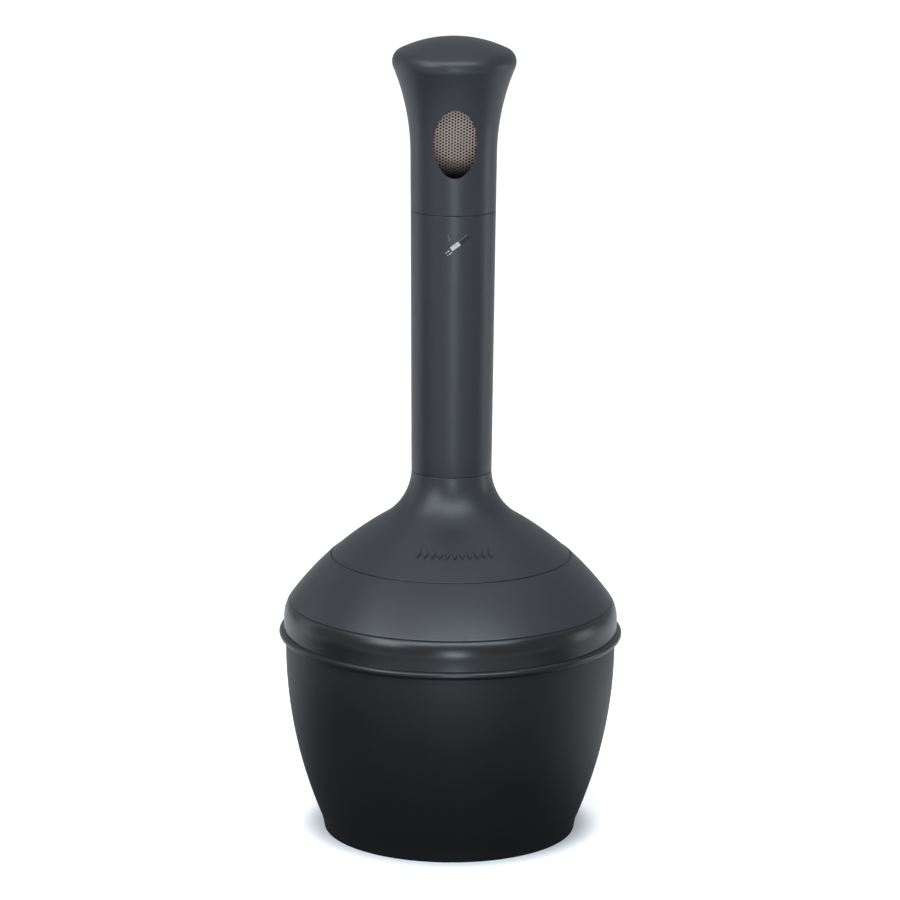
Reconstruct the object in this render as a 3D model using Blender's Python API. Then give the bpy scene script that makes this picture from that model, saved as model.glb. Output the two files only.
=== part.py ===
"""Free-standing smokers' receptacle: a moulded tub with a galvanised pail inside it, and a domed cover
whose tall neck carries a flared head with an oval mouth and a snuffing screen.
Metres, +Z up. The origin is the centre of the foot ring's underside and the mouth faces -Y."""

from math import asin, atan2, cos, pi, radians, sin, sqrt, tan

import bmesh
import bpy
from mathutils import Matrix, Vector

for stale in list(bpy.data.objects):
    bpy.data.objects.remove(stale, do_unlink=True)

# Tub, from the floor up
TUB_RADIUS = 0.2013
TUB_SIDE_ARC = 0.556
TUB_WALL = 0.004
FOOT_HEIGHT = 0.016
FOOT_PROUD = 0.0037
FOOT_RING_WIDTH = 0.030
FLOOR_RECESS = 0.006
LEDGE_HEIGHT = 0.2425
WIDEST_BELOW_LEDGE = 0.0095
RIM_SPIGOT_HEIGHT = 0.020
RIM_SPIGOT_WALL = 0.003

# Cover: skirt, dome and collar
TOP_WALL = 0.0035
SKIRT_PROUD = 0.0023
SKIRT_RISE = 0.028
BEAD_PROUD = 0.0059
BEAD_ROUND = 0.005
BAND_FOOT_RISE = 0.0173
SHOULDER_INSET = 0.0067
SHOULDER_RISE = 0.046
SHOULDER_HANDLE = 0.006
GROOVE_DEPTH = 0.0007
GROOVE_WIDTH = 0.0013
DOME_ARC = 0.3878
DOME_RISE = 0.208
DOME_STEP_RISE = 0.102
DOME_STEP = 0.0012
COLLAR_RADIUS = 0.0485
NECK_FILLET = 0.0733
FILLET_RUN_OUT = 0.003
SLEEVE_DEPTH = 0.0255

# Neck and head; the head hangs from the total height, so the neck takes up a change of either
TOTAL_HEIGHT = 0.978
NECK_PROUD = 0.0002
NECK_SPREAD = 0.0024
NECK_TAPER = 0.012
SPIGOT_DEPTH = 0.032
SPIGOT_WALL = 0.003
HEAD_LENGTH = 0.2075
FLARE_DROP = 0.1417
FLARE_SPREAD = 0.0007
FLARE_ARC = 0.2765
CAP_ARC = 0.150
CAP_EDGE_INSET = 0.0073
RIM_DROP = 0.036
RIM_HANDLE = 0.0085

# Mouth and snuffing screen, measured down from the top
MOUTH_WIDTH = 0.0514
MOUTH_HEIGHT = 0.083
MOUTH_DROP = 0.121
SCREEN_TILT = radians(19)
SCREEN_TOP_DROP = 0.070
SCREEN_BOTTOM_DROP = 0.172
SCREEN_SHEET = 0.001
SCREEN_TOP_INSET = 0.004
BOSS_DROP = 0.146
BOSS_EDGE = 0.0064
BOSS_SIZE = 0.014
BOSS_DEPTH = 0.012

# Screws
SCREW_SHANK = 0.0018
SCREW_HEAD = 0.0035
SCREW_HEAD_DEPTH = 0.0022
SCREW_HEAD_EDGE = 0.0010
SCREW_POINT = 0.0013
SCREW_SPREAD = radians(50)
SCREEN_SCREW_LENGTH = 0.0085
NECK_SCREW_DROP = 0.012
HEAD_SCREW_RISE = 0.0155
SCREW_SINK = 0.0015

# Pail
PAIL_ROOM = 0.0538
PAIL_TAPER = 0.0355
PAIL_RISE = 0.0028
PAIL_SHEET = 0.0008
PAIL_BEAD = 0.003
PAIL_HEM_WIDTH = 0.003
PAIL_HEM_HEIGHT = 0.006
EAR_SHEET = 0.0015
EAR_HEIGHT = 0.040
EYE_RADIUS = 0.0055
EYE_LENGTH = 0.0065
EYE_TURN = radians(6)
PIVOT_DROP = 0.020
RIVET_DROP = 0.020
RIVET_SHANK = 0.0020
RIVET_HEAD = 0.0035
RIVET_CROWN = 0.0025
RIVET_TAIL = 0.0028
RIVET_HEAD_DEPTH = 0.0012
BAIL_WIRE = 0.0025
BAIL_BEND = 0.004
BAIL_LIE = radians(28)

# Cigarette symbol on the neck
SYMBOL_LENGTH = 0.031
SYMBOL_WIDTH = 0.0062
SYMBOL_FILM = 0.0004
SYMBOL_TILT = radians(33)
SYMBOL_OFFSET = 0.0075
SYMBOL_DROP = 0.0325

# Clearances between pieces
GAP = 0.0003
RIM_CLEARANCE = 0.0006
SPIGOT_CLEARANCE = 0.0004
SCREEN_EDGE_CLEARANCE = 0.0005

# How far a cutter runs past a thin sheet, and past a shell above a sunk screw
HOLE_REACH = 0.004
COUNTERBORE_REACH = 0.02

# Facets round the turned pieces, which pieces that fit each other share, and steps along the outlines
ROUND = 40
SMALL_ROUND = 12
FACET = 2 * pi / ROUND
SIDE_STEPS = 7
EDGE_STEPS = 5
DOME_STEPS = 4
FILLET_STEPS = 6
BEAD_STEPS = 7
ARCH_STEPS = 22
SCREEN_STEPS = 10
SYMBOL_STEPS = 8

# Heights and radii that follow from the sizes above
TUB_WIDEST_HEIGHT = LEDGE_HEIGHT - WIDEST_BELOW_LEDGE
SKIRT_RADIUS = TUB_RADIUS + SKIRT_PROUD
SKIRT_TOP = LEDGE_HEIGHT + SKIRT_RISE
BEAD_RADIUS = SKIRT_RADIUS + BEAD_PROUD
SHOULDER_RADIUS = SKIRT_RADIUS - SHOULDER_INSET
SHOULDER_HEIGHT = LEDGE_HEIGHT + SHOULDER_RISE
DOME_STEP_HEIGHT = LEDGE_HEIGHT + DOME_STEP_RISE
COLLAR_HEIGHT = LEDGE_HEIGHT + DOME_RISE
COLLAR_TOP = COLLAR_HEIGHT - GAP
NECK_FOOT_RADIUS = COLLAR_RADIUS + NECK_PROUD
NECK_TOP_RADIUS = NECK_FOOT_RADIUS + NECK_SPREAD
HEAD_FOOT_HEIGHT = TOTAL_HEIGHT - HEAD_LENGTH
HEAD_SEAT = HEAD_FOOT_HEIGHT - GAP
FLARE_FOOT_RADIUS = NECK_TOP_RADIUS + FLARE_SPREAD
FLARE_FOOT_HEIGHT = TOTAL_HEIGHT - FLARE_DROP
MOUTH_CENTRE = TOTAL_HEIGHT - MOUTH_DROP
SCREEN_TOP = TOTAL_HEIGHT - SCREEN_TOP_DROP
SCREEN_BOTTOM = TOTAL_HEIGHT - SCREEN_BOTTOM_DROP
BOSS_HEIGHT = TOTAL_HEIGHT - BOSS_DROP
NECK_SCREW_HEIGHT = COLLAR_HEIGHT - NECK_SCREW_DROP
HEAD_SCREW_HEIGHT = HEAD_FOOT_HEIGHT + HEAD_SCREW_RISE
SYMBOL_HEIGHT = HEAD_FOOT_HEIGHT - SYMBOL_DROP
FLOOR_TOP = FLOOR_RECESS + TUB_WALL
PAIL_FOOT = FLOOR_TOP + GAP
PAIL_RIM = LEDGE_HEIGHT + PAIL_RISE - PAIL_BEAD
PAIL_RIM_RADIUS = TUB_RADIUS - TUB_WALL - PAIL_ROOM
PAIL_FOOT_RADIUS = PAIL_RIM_RADIUS - PAIL_TAPER
PIVOT_HEIGHT = PAIL_RIM - PIVOT_DROP
RIVET_HEIGHT = PIVOT_HEIGHT - RIVET_DROP


# ---------------------------------------------------------------- outlines

def arc(centre, radius, start, end, steps):
    """Points along an arc, angles in radians from the outward radius towards +Z."""
    turn = (end - start) / steps
    return [(centre[0] + radius * cos(start + turn * i), centre[1] + radius * sin(start + turn * i))
            for i in range(steps + 1)]


def blend(start, start_way, end, end_way, handle, steps):
    """Cubic curve that leaves start along start_way and reaches end along end_way."""
    a, b = Vector(start), Vector(end)
    near = a + Vector(start_way).normalized() * handle
    far = b - Vector(end_way).normalized() * handle
    points = []
    for i in range(1, steps):
        t = i / steps
        p = a * (1 - t) ** 3 + near * 3 * t * (1 - t) ** 2 + far * 3 * t * t * (1 - t) + b * t ** 3
        points.append((p.x, p.y))
    return points


def tub_radius(z):
    """Outer radius of the tub's side, an arc that is widest just under the ledge."""
    return TUB_RADIUS - TUB_SIDE_ARC + sqrt(TUB_SIDE_ARC ** 2 - (TUB_WIDEST_HEIGHT - z) ** 2)


def dome_centres(inset):
    """Dome arc and hollow neck fillet moved inwards by inset: both centres, both radii, the meeting angle."""
    fillet = Vector((COLLAR_RADIUS + NECK_FILLET, COLLAR_HEIGHT + FILLET_RUN_OUT))
    shoulder = Vector((SHOULDER_RADIUS, SHOULDER_HEIGHT))
    span = fillet - shoulder
    along = (DOME_ARC ** 2 - (DOME_ARC + NECK_FILLET) ** 2 + span.length ** 2) / (2 * span.length)
    across = sqrt(DOME_ARC ** 2 - along ** 2)
    way = span.normalized()
    dome = shoulder + way * along + Vector((-way.y, way.x)) * across
    line = fillet - dome
    return dome, DOME_ARC - inset, fillet, NECK_FILLET + inset, atan2(line.y, line.x)


def fillet_outline(inset, top_z):
    """Neck fillet from its meeting with the dome up to top_z."""
    _, _, fillet, fillet_round, meet = dome_centres(inset)
    top = pi + asin((fillet.y - top_z) / fillet_round)
    return arc(fillet, fillet_round, pi + meet, top, FILLET_STEPS)


def dome_outside(top_z):
    """The dome's lower zone stands proud of its upper zone at the moulded step line."""
    dome, dome_round, _, _, meet = dome_centres(0)
    foot = asin((SHOULDER_HEIGHT - dome.y) / dome_round)
    step = asin((DOME_STEP_HEIGHT - dome.y) / dome_round)
    lower = arc(dome, dome_round, foot, step, DOME_STEPS)
    upper = arc(dome, dome_round, step, meet, DOME_STEPS)
    proud = [(r + DOME_STEP / 2 * i / DOME_STEPS, z) for i, (r, z) in enumerate(lower)]
    shy = [(r - DOME_STEP / 2 * (1 - i / DOME_STEPS), z) for i, (r, z) in enumerate(upper)]
    return proud + shy + fillet_outline(0, top_z)[1:]


def dome_inside(foot_z, top_z):
    dome, dome_round, _, _, meet = dome_centres(TOP_WALL)
    foot = asin((foot_z - dome.y) / dome_round)
    return arc(dome, dome_round, foot, meet, FILLET_STEPS) + fillet_outline(TOP_WALL, top_z)[1:]


def dome_radius(z):
    """Outer radius of the dome's neck fillet at height z."""
    _, _, fillet, fillet_round, _ = dome_centres(0)
    return fillet.x - sqrt(fillet_round ** 2 - (fillet.y - z) ** 2)


def neck_radius(z):
    """Outer radius of the slightly tapered neck."""
    share = (z - COLLAR_HEIGHT) / (HEAD_FOOT_HEIGHT - COLLAR_HEIGHT)
    return NECK_FOOT_RADIUS + (NECK_TOP_RADIUS - NECK_FOOT_RADIUS) * share


def head_radius(z):
    """Outer radius of the head's lower part and of the flare above it."""
    if z < FLARE_FOOT_HEIGHT:
        share = (z - HEAD_FOOT_HEIGHT) / (FLARE_FOOT_HEIGHT - HEAD_FOOT_HEIGHT)
        return NECK_TOP_RADIUS + (FLARE_FOOT_RADIUS - NECK_TOP_RADIUS) * share
    rise = z - FLARE_FOOT_HEIGHT
    return FLARE_FOOT_RADIUS + FLARE_ARC - sqrt(FLARE_ARC ** 2 - rise ** 2)


def head_outline(inset):
    """Flare, rounded rim and cap, up to the middle of the cap, moved inwards by inset."""
    flare_top = TOTAL_HEIGHT - RIM_DROP
    rise = flare_top - FLARE_FOOT_HEIGHT
    heights = [FLARE_FOOT_HEIGHT + rise * i / EDGE_STEPS for i in range(EDGE_STEPS + 1)]
    flare = [(head_radius(z) - inset, z) for z in heights]
    flare_way = (rise, sqrt(FLARE_ARC ** 2 - rise ** 2))
    edge = head_radius(flare_top) - CAP_EDGE_INSET - inset
    cap_centre = TOTAL_HEIGHT - CAP_ARC
    cap_round = CAP_ARC - inset
    edge_angle = asin(edge / cap_round)
    cap_way = (-cos(edge_angle), sin(edge_angle))
    cap_start = (edge, cap_centre + cap_round * cos(edge_angle))
    rim = blend(flare[-1], flare_way, cap_start, cap_way, RIM_HANDLE - inset / 2, EDGE_STEPS)
    cap = arc((0, cap_centre), cap_round, pi / 2 - edge_angle, pi / 2, DOME_STEPS)[:-1]
    return flare + rim + cap + [(0, cap_centre + cap_round)]


def pail_radius(z):
    """Outer radius of the pail's tapered wall."""
    share = (z - PAIL_FOOT) / (PAIL_RIM - PAIL_FOOT)
    return PAIL_FOOT_RADIUS + (PAIL_RIM_RADIUS - PAIL_FOOT_RADIUS) * share


# ---------------------------------------------------------------- building helpers

def material(name, colour, roughness, metallic):
    made = bpy.data.materials.new(name)
    made.use_nodes = True
    shader = made.node_tree.nodes["Principled BSDF"]
    shader.inputs["Base Color"].default_value = (*colour, 1)
    shader.inputs["Roughness"].default_value = roughness
    shader.inputs["Metallic"].default_value = metallic
    return made


def place(name, mesh, look):
    mesh.materials.append(look)
    mesh.shade_smooth()
    mesh.set_sharp_from_angle(angle=radians(35))
    made = bpy.data.objects.new(name, mesh)
    bpy.context.scene.collection.objects.link(made)
    return made


def mesh_from(name, bm):
    bmesh.ops.recalc_face_normals(bm, faces=bm.faces)
    mesh = bpy.data.meshes.new(name)
    bm.to_mesh(mesh)
    bm.free()
    return mesh


def turned_mesh(name, outline, facets):
    """Spin an outline of (radius, height) points about Z; an outline off the axis is a closed loop."""
    bm = bmesh.new()
    points = [bm.verts.new((r, 0, z)) for r, z in outline]
    edges = [bm.edges.new(pair) for pair in zip(points, points[1:])]
    if outline[0][0] > 0:
        edges.append(bm.edges.new((points[-1], points[0])))
    bmesh.ops.spin(bm, geom=points + edges, cent=(0, 0, 0), axis=(0, 0, 1), angle=2 * pi, steps=facets,
                   use_merge=True)
    bmesh.ops.remove_doubles(bm, verts=bm.verts, dist=0.000001)
    return mesh_from(name, bm)


def skinned_mesh(name, sections):
    """Closed body through a row of four-cornered sections."""
    bm = bmesh.new()
    rings = [[bm.verts.new(corner) for corner in section] for section in sections]
    for near, far in zip(rings, rings[1:]):
        for k in range(4):
            bm.faces.new((near[k], near[(k + 1) % 4], far[(k + 1) % 4], far[k]))
    bm.faces.new(rings[0])
    bm.faces.new(rings[-1][::-1])
    return mesh_from(name, bm)


def turned(name, outline, look, facets=ROUND):
    return place(name, turned_mesh(name, outline, facets), look)


def combine(host, tool, operation):
    """Cut, join or intersect host with a hidden tool object."""
    tool.hide_render = True
    tool.display_type = "WIRE"
    cut = host.modifiers.new(tool.name, "BOOLEAN")
    cut.operation = operation
    cut.solver = "EXACT"
    cut.object = tool


def aim(point, way):
    """Matrix that stands a piece's own +Z along way at point."""
    return Matrix.Translation(point) @ Vector(way).to_track_quat("Z", "Y").to_matrix().to_4x4()


def rod_outline(radius, low, high):
    return [(0, low), (radius, low), (radius, high), (0, high)]


def screw_outline(length):
    """Shank below, domed head above; height 0 is the underside of the head."""
    shank = [(0, -length), (SCREW_POINT, -length), (SCREW_SHANK, -length + SCREW_SHANK), (SCREW_SHANK, 0)]
    crown = SCREW_HEAD_DEPTH - SCREW_HEAD_EDGE
    head = [(SCREW_HEAD * cos(radians(a)), SCREW_HEAD_EDGE + crown * sin(radians(a))) for a in (0, 30, 60)]
    return shank + [(SCREW_HEAD, 0)] + head + [(0, SCREW_HEAD_DEPTH)]


def screw(name, seat, way, length, look):
    made = turned(name, screw_outline(length), look, facets=SMALL_ROUND)
    made.matrix_world = aim(Vector(seat) + Vector(way) * GAP, way)
    return made


def screw_hole(host, name, seat, way, depth):
    """Counterbore above the seat and a clear hole of the given depth below it."""
    head = SCREW_HEAD + 2 * GAP
    shank = SCREW_SHANK + GAP
    outline = [(0, -depth), (shank, -depth), (shank, 0), (head, 0), (head, COUNTERBORE_REACH),
               (0, COUNTERBORE_REACH)]
    tool = turned(name, outline, host.data.materials[0], facets=SMALL_ROUND)
    tool.matrix_world = aim(seat, way)
    combine(host, tool, "DIFFERENCE")


# ---------------------------------------------------------------- the pieces

def make_tub(look):
    """Moulded tub: foot ring, recessed floor, bulging side, ledge and upright rim spigot."""
    foot_radius = tub_radius(0) + FOOT_PROUD
    heights = [FOOT_HEIGHT + (LEDGE_HEIGHT - FOOT_HEIGHT) * i / SIDE_STEPS for i in range(SIDE_STEPS + 1)]
    outer = [(tub_radius(z), z) for z in heights]
    spigot = SKIRT_RADIUS - TOP_WALL - RIM_CLEARANCE
    spigot_top = LEDGE_HEIGHT + RIM_SPIGOT_HEIGHT
    rim = [(spigot, LEDGE_HEIGHT), (spigot, spigot_top), (spigot - RIM_SPIGOT_WALL, spigot_top)]
    inner = [(r - TUB_WALL, z) for r, z in reversed(outer[1:-1])]
    floor = [(foot_radius - TUB_WALL, FLOOR_TOP), (0, FLOOR_TOP)]
    ring_inner = foot_radius - FOOT_RING_WIDTH
    under = [(0, FLOOR_RECESS), (ring_inner - FLOOR_RECESS, FLOOR_RECESS), (ring_inner, 0)]
    return turned("base_tub", under + [(foot_radius, 0)] + outer + rim + inner + floor, look)


def make_dome(look):
    """Domed cover: rolled bead and skirt over the tub's spigot, shoulder groove, step line and collar."""
    foot = LEDGE_HEIGHT + GAP
    skirt_inner = SKIRT_RADIUS - TOP_WALL
    bead = arc((BEAD_RADIUS - BEAD_ROUND, foot + BEAD_ROUND), BEAD_ROUND, -pi / 2, radians(60), EDGE_STEPS)
    band = [(SKIRT_RADIUS, LEDGE_HEIGHT + BAND_FOOT_RISE), (SKIRT_RADIUS, SKIRT_TOP)]
    lip = (SHOULDER_RADIUS + GROOVE_DEPTH, SHOULDER_HEIGHT - GROOVE_WIDTH)
    shoulder = blend(band[-1], (0, 1), lip, (-1, 1), SHOULDER_HANDLE, EDGE_STEPS) + [lip]
    groove = [(SHOULDER_RADIUS - GROOVE_DEPTH, SHOULDER_HEIGHT - GROOVE_WIDTH / 2)]
    outer = dome_outside(COLLAR_TOP)
    sleeve = COLLAR_RADIUS - TOP_WALL
    sleeve_foot = COLLAR_HEIGHT - SLEEVE_DEPTH
    inner = dome_inside(SHOULDER_HEIGHT - TOP_WALL / 2, sleeve_foot)
    hollow = [(sleeve, COLLAR_TOP), (sleeve, sleeve_foot)] + inner[::-1]
    skirt_inside = [(skirt_inner, SKIRT_TOP - TOP_WALL), (skirt_inner, foot)]
    outline = bead + band + shoulder + groove + outer + hollow + skirt_inside
    return turned("dome_cover", outline, look)


def make_neck(look):
    """Tapered neck with a reduced spigot at each end."""
    foot = COLLAR_RADIUS - TOP_WALL - SPIGOT_CLEARANCE
    top = NECK_TOP_RADIUS - TOP_WALL - SPIGOT_CLEARANCE
    foot_end = COLLAR_HEIGHT - SPIGOT_DEPTH
    top_end = HEAD_SEAT + SPIGOT_DEPTH - GAP
    outline = [(foot - SPIGOT_WALL, foot_end), (foot, foot_end), (foot, COLLAR_HEIGHT),
               (NECK_FOOT_RADIUS, COLLAR_HEIGHT), (NECK_TOP_RADIUS, HEAD_SEAT), (top, HEAD_SEAT),
               (top, top_end), (top - SPIGOT_WALL, top_end), (top - SPIGOT_WALL, HEAD_SEAT - NECK_TAPER / 2),
               (NECK_TOP_RADIUS - TOP_WALL, HEAD_SEAT - 3 * NECK_TAPER / 2),
               (NECK_FOOT_RADIUS - TOP_WALL, COLLAR_HEIGHT + 3 * NECK_TAPER / 2),
               (foot - SPIGOT_WALL, COLLAR_HEIGHT + NECK_TAPER / 2)]
    return turned("neck_tube", outline, look)


def screen_depth(z):
    """How far in front of the axis the screen's front face stands at height z."""
    top = head_radius(SCREEN_TOP) - TOP_WALL - SCREEN_TOP_INSET
    return top - (SCREEN_TOP - z) * tan(SCREEN_TILT)


def screen_half_width(z):
    """Half width of the screen, which follows the head's inner wall."""
    wall = head_radius(z) - TOP_WALL - SCREEN_EDGE_CLEARANCE
    return sqrt((wall * cos(FACET / 2)) ** 2 - screen_depth(z) ** 2)


SCREEN_WAY = Vector((0, -cos(SCREEN_TILT), -sin(SCREEN_TILT)))


def boss_offset():
    """Sideways place of a screen screw, a set distance in from the screen's edge."""
    return screen_half_width(BOSS_HEIGHT) - BOSS_EDGE


def screen_point(side):
    """Where a screen screw passes through the screen's front face."""
    return Vector((side * boss_offset(), -screen_depth(BOSS_HEIGHT), BOSS_HEIGHT))


def screen_boss(side, name, look):
    """Tilted block behind the screen, trimmed to end inside the head's wall."""
    seat = screen_point(side) - SCREEN_WAY * (SCREEN_SHEET + GAP)
    bm = bmesh.new()
    bmesh.ops.create_cube(bm, size=1.0)
    reach = FLARE_FOOT_RADIUS - boss_offset() + BOSS_SIZE / 2
    bmesh.ops.scale(bm, vec=(reach, BOSS_SIZE, BOSS_DEPTH), verts=bm.verts)
    bmesh.ops.translate(bm, vec=((reach - BOSS_SIZE) / 2, 0, -BOSS_DEPTH / 2), verts=bm.verts)
    boss = place(f"boss_{name}", mesh_from(f"boss_{name}", bm), look)
    boss.matrix_world = Matrix.Translation(seat) @ Matrix.Rotation(pi / 2 + SCREEN_TILT, 4, "X") @ (
        Matrix.Rotation(0 if side > 0 else pi, 4, "Z"))
    wall = head_radius(BOSS_HEIGHT) - TOP_WALL / 2
    limit = turned(f"boss_limit_{name}", rod_outline(wall, HEAD_FOOT_HEIGHT, SCREEN_TOP), look)
    combine(boss, limit, "INTERSECT")
    return boss


def make_head(look):
    """Flared head with a domed cap, an oval mouth and two inner bosses for the screen."""
    outer = [(NECK_TOP_RADIUS, HEAD_FOOT_HEIGHT)] + head_outline(0)
    inner = [(NECK_TOP_RADIUS - TOP_WALL, HEAD_FOOT_HEIGHT)] + head_outline(TOP_WALL)
    head = turned("head_shell", inner[::-1] + outer, look)
    for side, name in ((-1, "left"), (1, "right")):
        combine(head, screen_boss(side, name, look), "UNION")
        pilot_rod = rod_outline(SCREW_SHANK + GAP, -SCREEN_SCREW_LENGTH - GAP, BOSS_DEPTH)
        pilot = turned(f"pilot_{name}", pilot_rod, look, facets=SMALL_ROUND)
        pilot.matrix_world = aim(screen_point(side), SCREEN_WAY)
        combine(head, pilot, "DIFFERENCE")
    mouth = turned("mouth_cutter", rod_outline(1, 0, 1), look)
    inner_wall = FLARE_FOOT_RADIUS - TOP_WALL
    start = sqrt(inner_wall ** 2 - (MOUTH_WIDTH / 2) ** 2) - TOP_WALL
    mouth.matrix_world = aim((0, -start, MOUTH_CENTRE), (0, -1, 0)) @ Matrix.Diagonal(
        (MOUTH_WIDTH / 2, MOUTH_HEIGHT / 2, inner_wall, 1))
    combine(head, mouth, "DIFFERENCE")
    return head


def make_screen(look):
    """Flat stainless plate leaning inside the head, its edge following the head's inner wall."""
    rise = (SCREEN_TOP - SCREEN_BOTTOM) / SCREEN_STEPS
    heights = [SCREEN_BOTTOM + rise * i for i in range(SCREEN_STEPS + 1)]
    right = [(screen_half_width(z), -screen_depth(z), z) for z in heights]
    left = [(-x, y, z) for x, y, z in reversed(right)]
    bm = bmesh.new()
    front = bm.faces.new([bm.verts.new(point) for point in right + left])
    grown = bmesh.ops.extrude_face_region(bm, geom=[front], use_keep_orig=True)
    back = [item for item in grown["geom"] if isinstance(item, bmesh.types.BMVert)]
    bmesh.ops.translate(bm, vec=-SCREEN_WAY * SCREEN_SHEET, verts=back)
    screen = place("snuff_screen", mesh_from("snuff_screen", bm), look)
    for side, name in ((-1, "left"), (1, "right")):
        hole = turned(f"screen_hole_{name}", rod_outline(SCREW_SHANK + GAP, -HOLE_REACH, HOLE_REACH), look,
                      facets=SMALL_ROUND)
        hole.matrix_world = aim(screen_point(side), SCREEN_WAY)
        combine(screen, hole, "DIFFERENCE")
    return screen


def make_top_screws(dome, neck, head, look):
    """Two screws at each neck seam, on the rear half, and two that hold the screen."""
    collar = dome_radius(NECK_SCREW_HEIGHT) - SCREW_SINK - GAP
    socket = head_radius(HEAD_SCREW_HEIGHT) - SCREW_SINK
    spigot_foot = COLLAR_RADIUS - TOP_WALL - SPIGOT_CLEARANCE - SPIGOT_WALL
    spigot_top = NECK_TOP_RADIUS - TOP_WALL - SPIGOT_CLEARANCE - SPIGOT_WALL
    for side, name in ((-1, "left"), (1, "right")):
        way = Vector((side * sin(SCREW_SPREAD), cos(SCREW_SPREAD), 0))
        seams = ((f"neck_screw_{name}", dome, collar, spigot_foot, NECK_SCREW_HEIGHT),
                 (f"head_screw_{name}", head, socket, spigot_top, HEAD_SCREW_HEIGHT))
        for screw_name, shell, seat_radius, inside, height in seams:
            seat = way * seat_radius + Vector((0, 0, height))
            length = seat_radius - inside
            screw(screw_name, seat, way, length, look)
            screw_hole(shell, f"{screw_name}_outer_hole", seat, way, length + SPIGOT_WALL)
            screw_hole(neck, f"{screw_name}_inner_hole", seat, way, length + SPIGOT_WALL)
        screw(f"screen_screw_{name}", screen_point(side), SCREEN_WAY, SCREEN_SCREW_LENGTH, look)


def make_pail(look, rivet_look):
    """Galvanised pail: tapered wall with a rolled rim and a hem that carries the loose bottom disc."""
    hem_inner = PAIL_FOOT_RADIUS - PAIL_HEM_WIDTH
    hem_top = PAIL_FOOT + PAIL_HEM_HEIGHT
    bead = (PAIL_RIM_RADIUS + PAIL_BEAD / 2, PAIL_RIM)
    rim = arc(bead, PAIL_BEAD, -pi / 2, radians(190), BEAD_STEPS)
    wall_top = PAIL_RIM - PAIL_BEAD - GAP
    outside = [(hem_inner, PAIL_FOOT), (PAIL_FOOT_RADIUS, PAIL_FOOT), (pail_radius(wall_top), wall_top)]
    inside = [(pail_radius(wall_top) - PAIL_SHEET, wall_top), (pail_radius(hem_top) - PAIL_SHEET, hem_top),
              (hem_inner, hem_top)]
    pail = turned("pail_body", outside + rim + inside, look)
    disc_foot = hem_top + GAP
    disc_edge = pail_radius(hem_top) - PAIL_SHEET - GAP
    turned("pail_bottom", rod_outline(disc_edge, disc_foot, disc_foot + PAIL_SHEET), look)
    for side, name in ((-1, "left"), (1, "right")):
        ear = make_ear(side, name, look)
        for number, turn in ((1, -FACET / 2), (2, FACET / 2)):
            make_rivet(pail, ear, f"ear_rivet_{name}_{number}", turn + (0 if side > 0 else pi), rivet_look)
    return pail


def make_ear(side, name, look):
    """Sheet ear that follows two facets of the pail's wall, with a short eye for the bail."""
    low = RIVET_HEIGHT - RIVET_HEAD * 2
    high = low + EAR_HEIGHT
    section = [(pail_radius(z) + GAP + lift, z) for z, lift in
               ((low, 0), (low, EAR_SHEET), (high, EAR_SHEET), (high, 0))]
    turns = [FACET * step + (0 if side > 0 else pi) for step in (-1, 0, 1)]
    sections = [[(r * cos(a), r * sin(a), z) for r, z in section] for a in turns]
    ear = place(f"pail_ear_{name}", skinned_mesh(f"pail_ear_{name}", sections), look)
    out = Vector((side, 0, 0))
    root = pail_radius(PIVOT_HEIGHT) + GAP + EAR_SHEET / 2
    end = EYE_LENGTH + EAR_SHEET / 2
    bore = BAIL_WIRE + GAP
    bore_foot = EAR_SHEET / 2 + GAP
    eye = turned(f"eye_{name}", [(0, 0), (EYE_RADIUS, 0), (EYE_RADIUS, end), (bore, end), (bore, bore_foot),
                                 (0, bore_foot)], look, facets=SMALL_ROUND)
    eye.matrix_world = aim(out * root + Vector((0, 0, PIVOT_HEIGHT)), out) @ Matrix.Rotation(EYE_TURN, 4, "Z")
    combine(ear, eye, "UNION")
    return ear


def make_rivet(pail, ear, name, turn, look):
    """Rivet square to one facet of the ear and the pail's wall."""
    slope = (PAIL_RIM_RADIUS - PAIL_FOOT_RADIUS) / (PAIL_RIM - PAIL_FOOT)
    way = Vector((cos(turn), sin(turn), -slope)).normalized()
    face = pail_radius(RIVET_HEIGHT) * cos(FACET / 2)
    wall = Vector((cos(turn) * face, sin(turn) * face, RIVET_HEIGHT))
    grip = GAP + EAR_SHEET * cos(FACET / 2) * cos(atan2(slope, 1))
    tail = PAIL_SHEET + GAP
    head = grip + GAP
    outline = [(0, -tail - RIVET_HEAD_DEPTH), (RIVET_TAIL, -tail - RIVET_HEAD_DEPTH), (RIVET_TAIL, -tail),
               (RIVET_SHANK, -tail), (RIVET_SHANK, head), (RIVET_HEAD, head),
               (RIVET_CROWN, head + RIVET_HEAD_DEPTH), (0, head + RIVET_HEAD_DEPTH)]
    rivet = turned(name, outline, look, facets=SMALL_ROUND)
    rivet.matrix_world = aim(wall, way)
    hole = turned(f"{name}_hole", rod_outline(RIVET_SHANK + GAP, -HOLE_REACH, HOLE_REACH), look,
                  facets=SMALL_ROUND)
    hole.matrix_world = rivet.matrix_world
    combine(pail, hole, "DIFFERENCE")
    combine(ear, hole, "DIFFERENCE")


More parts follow.
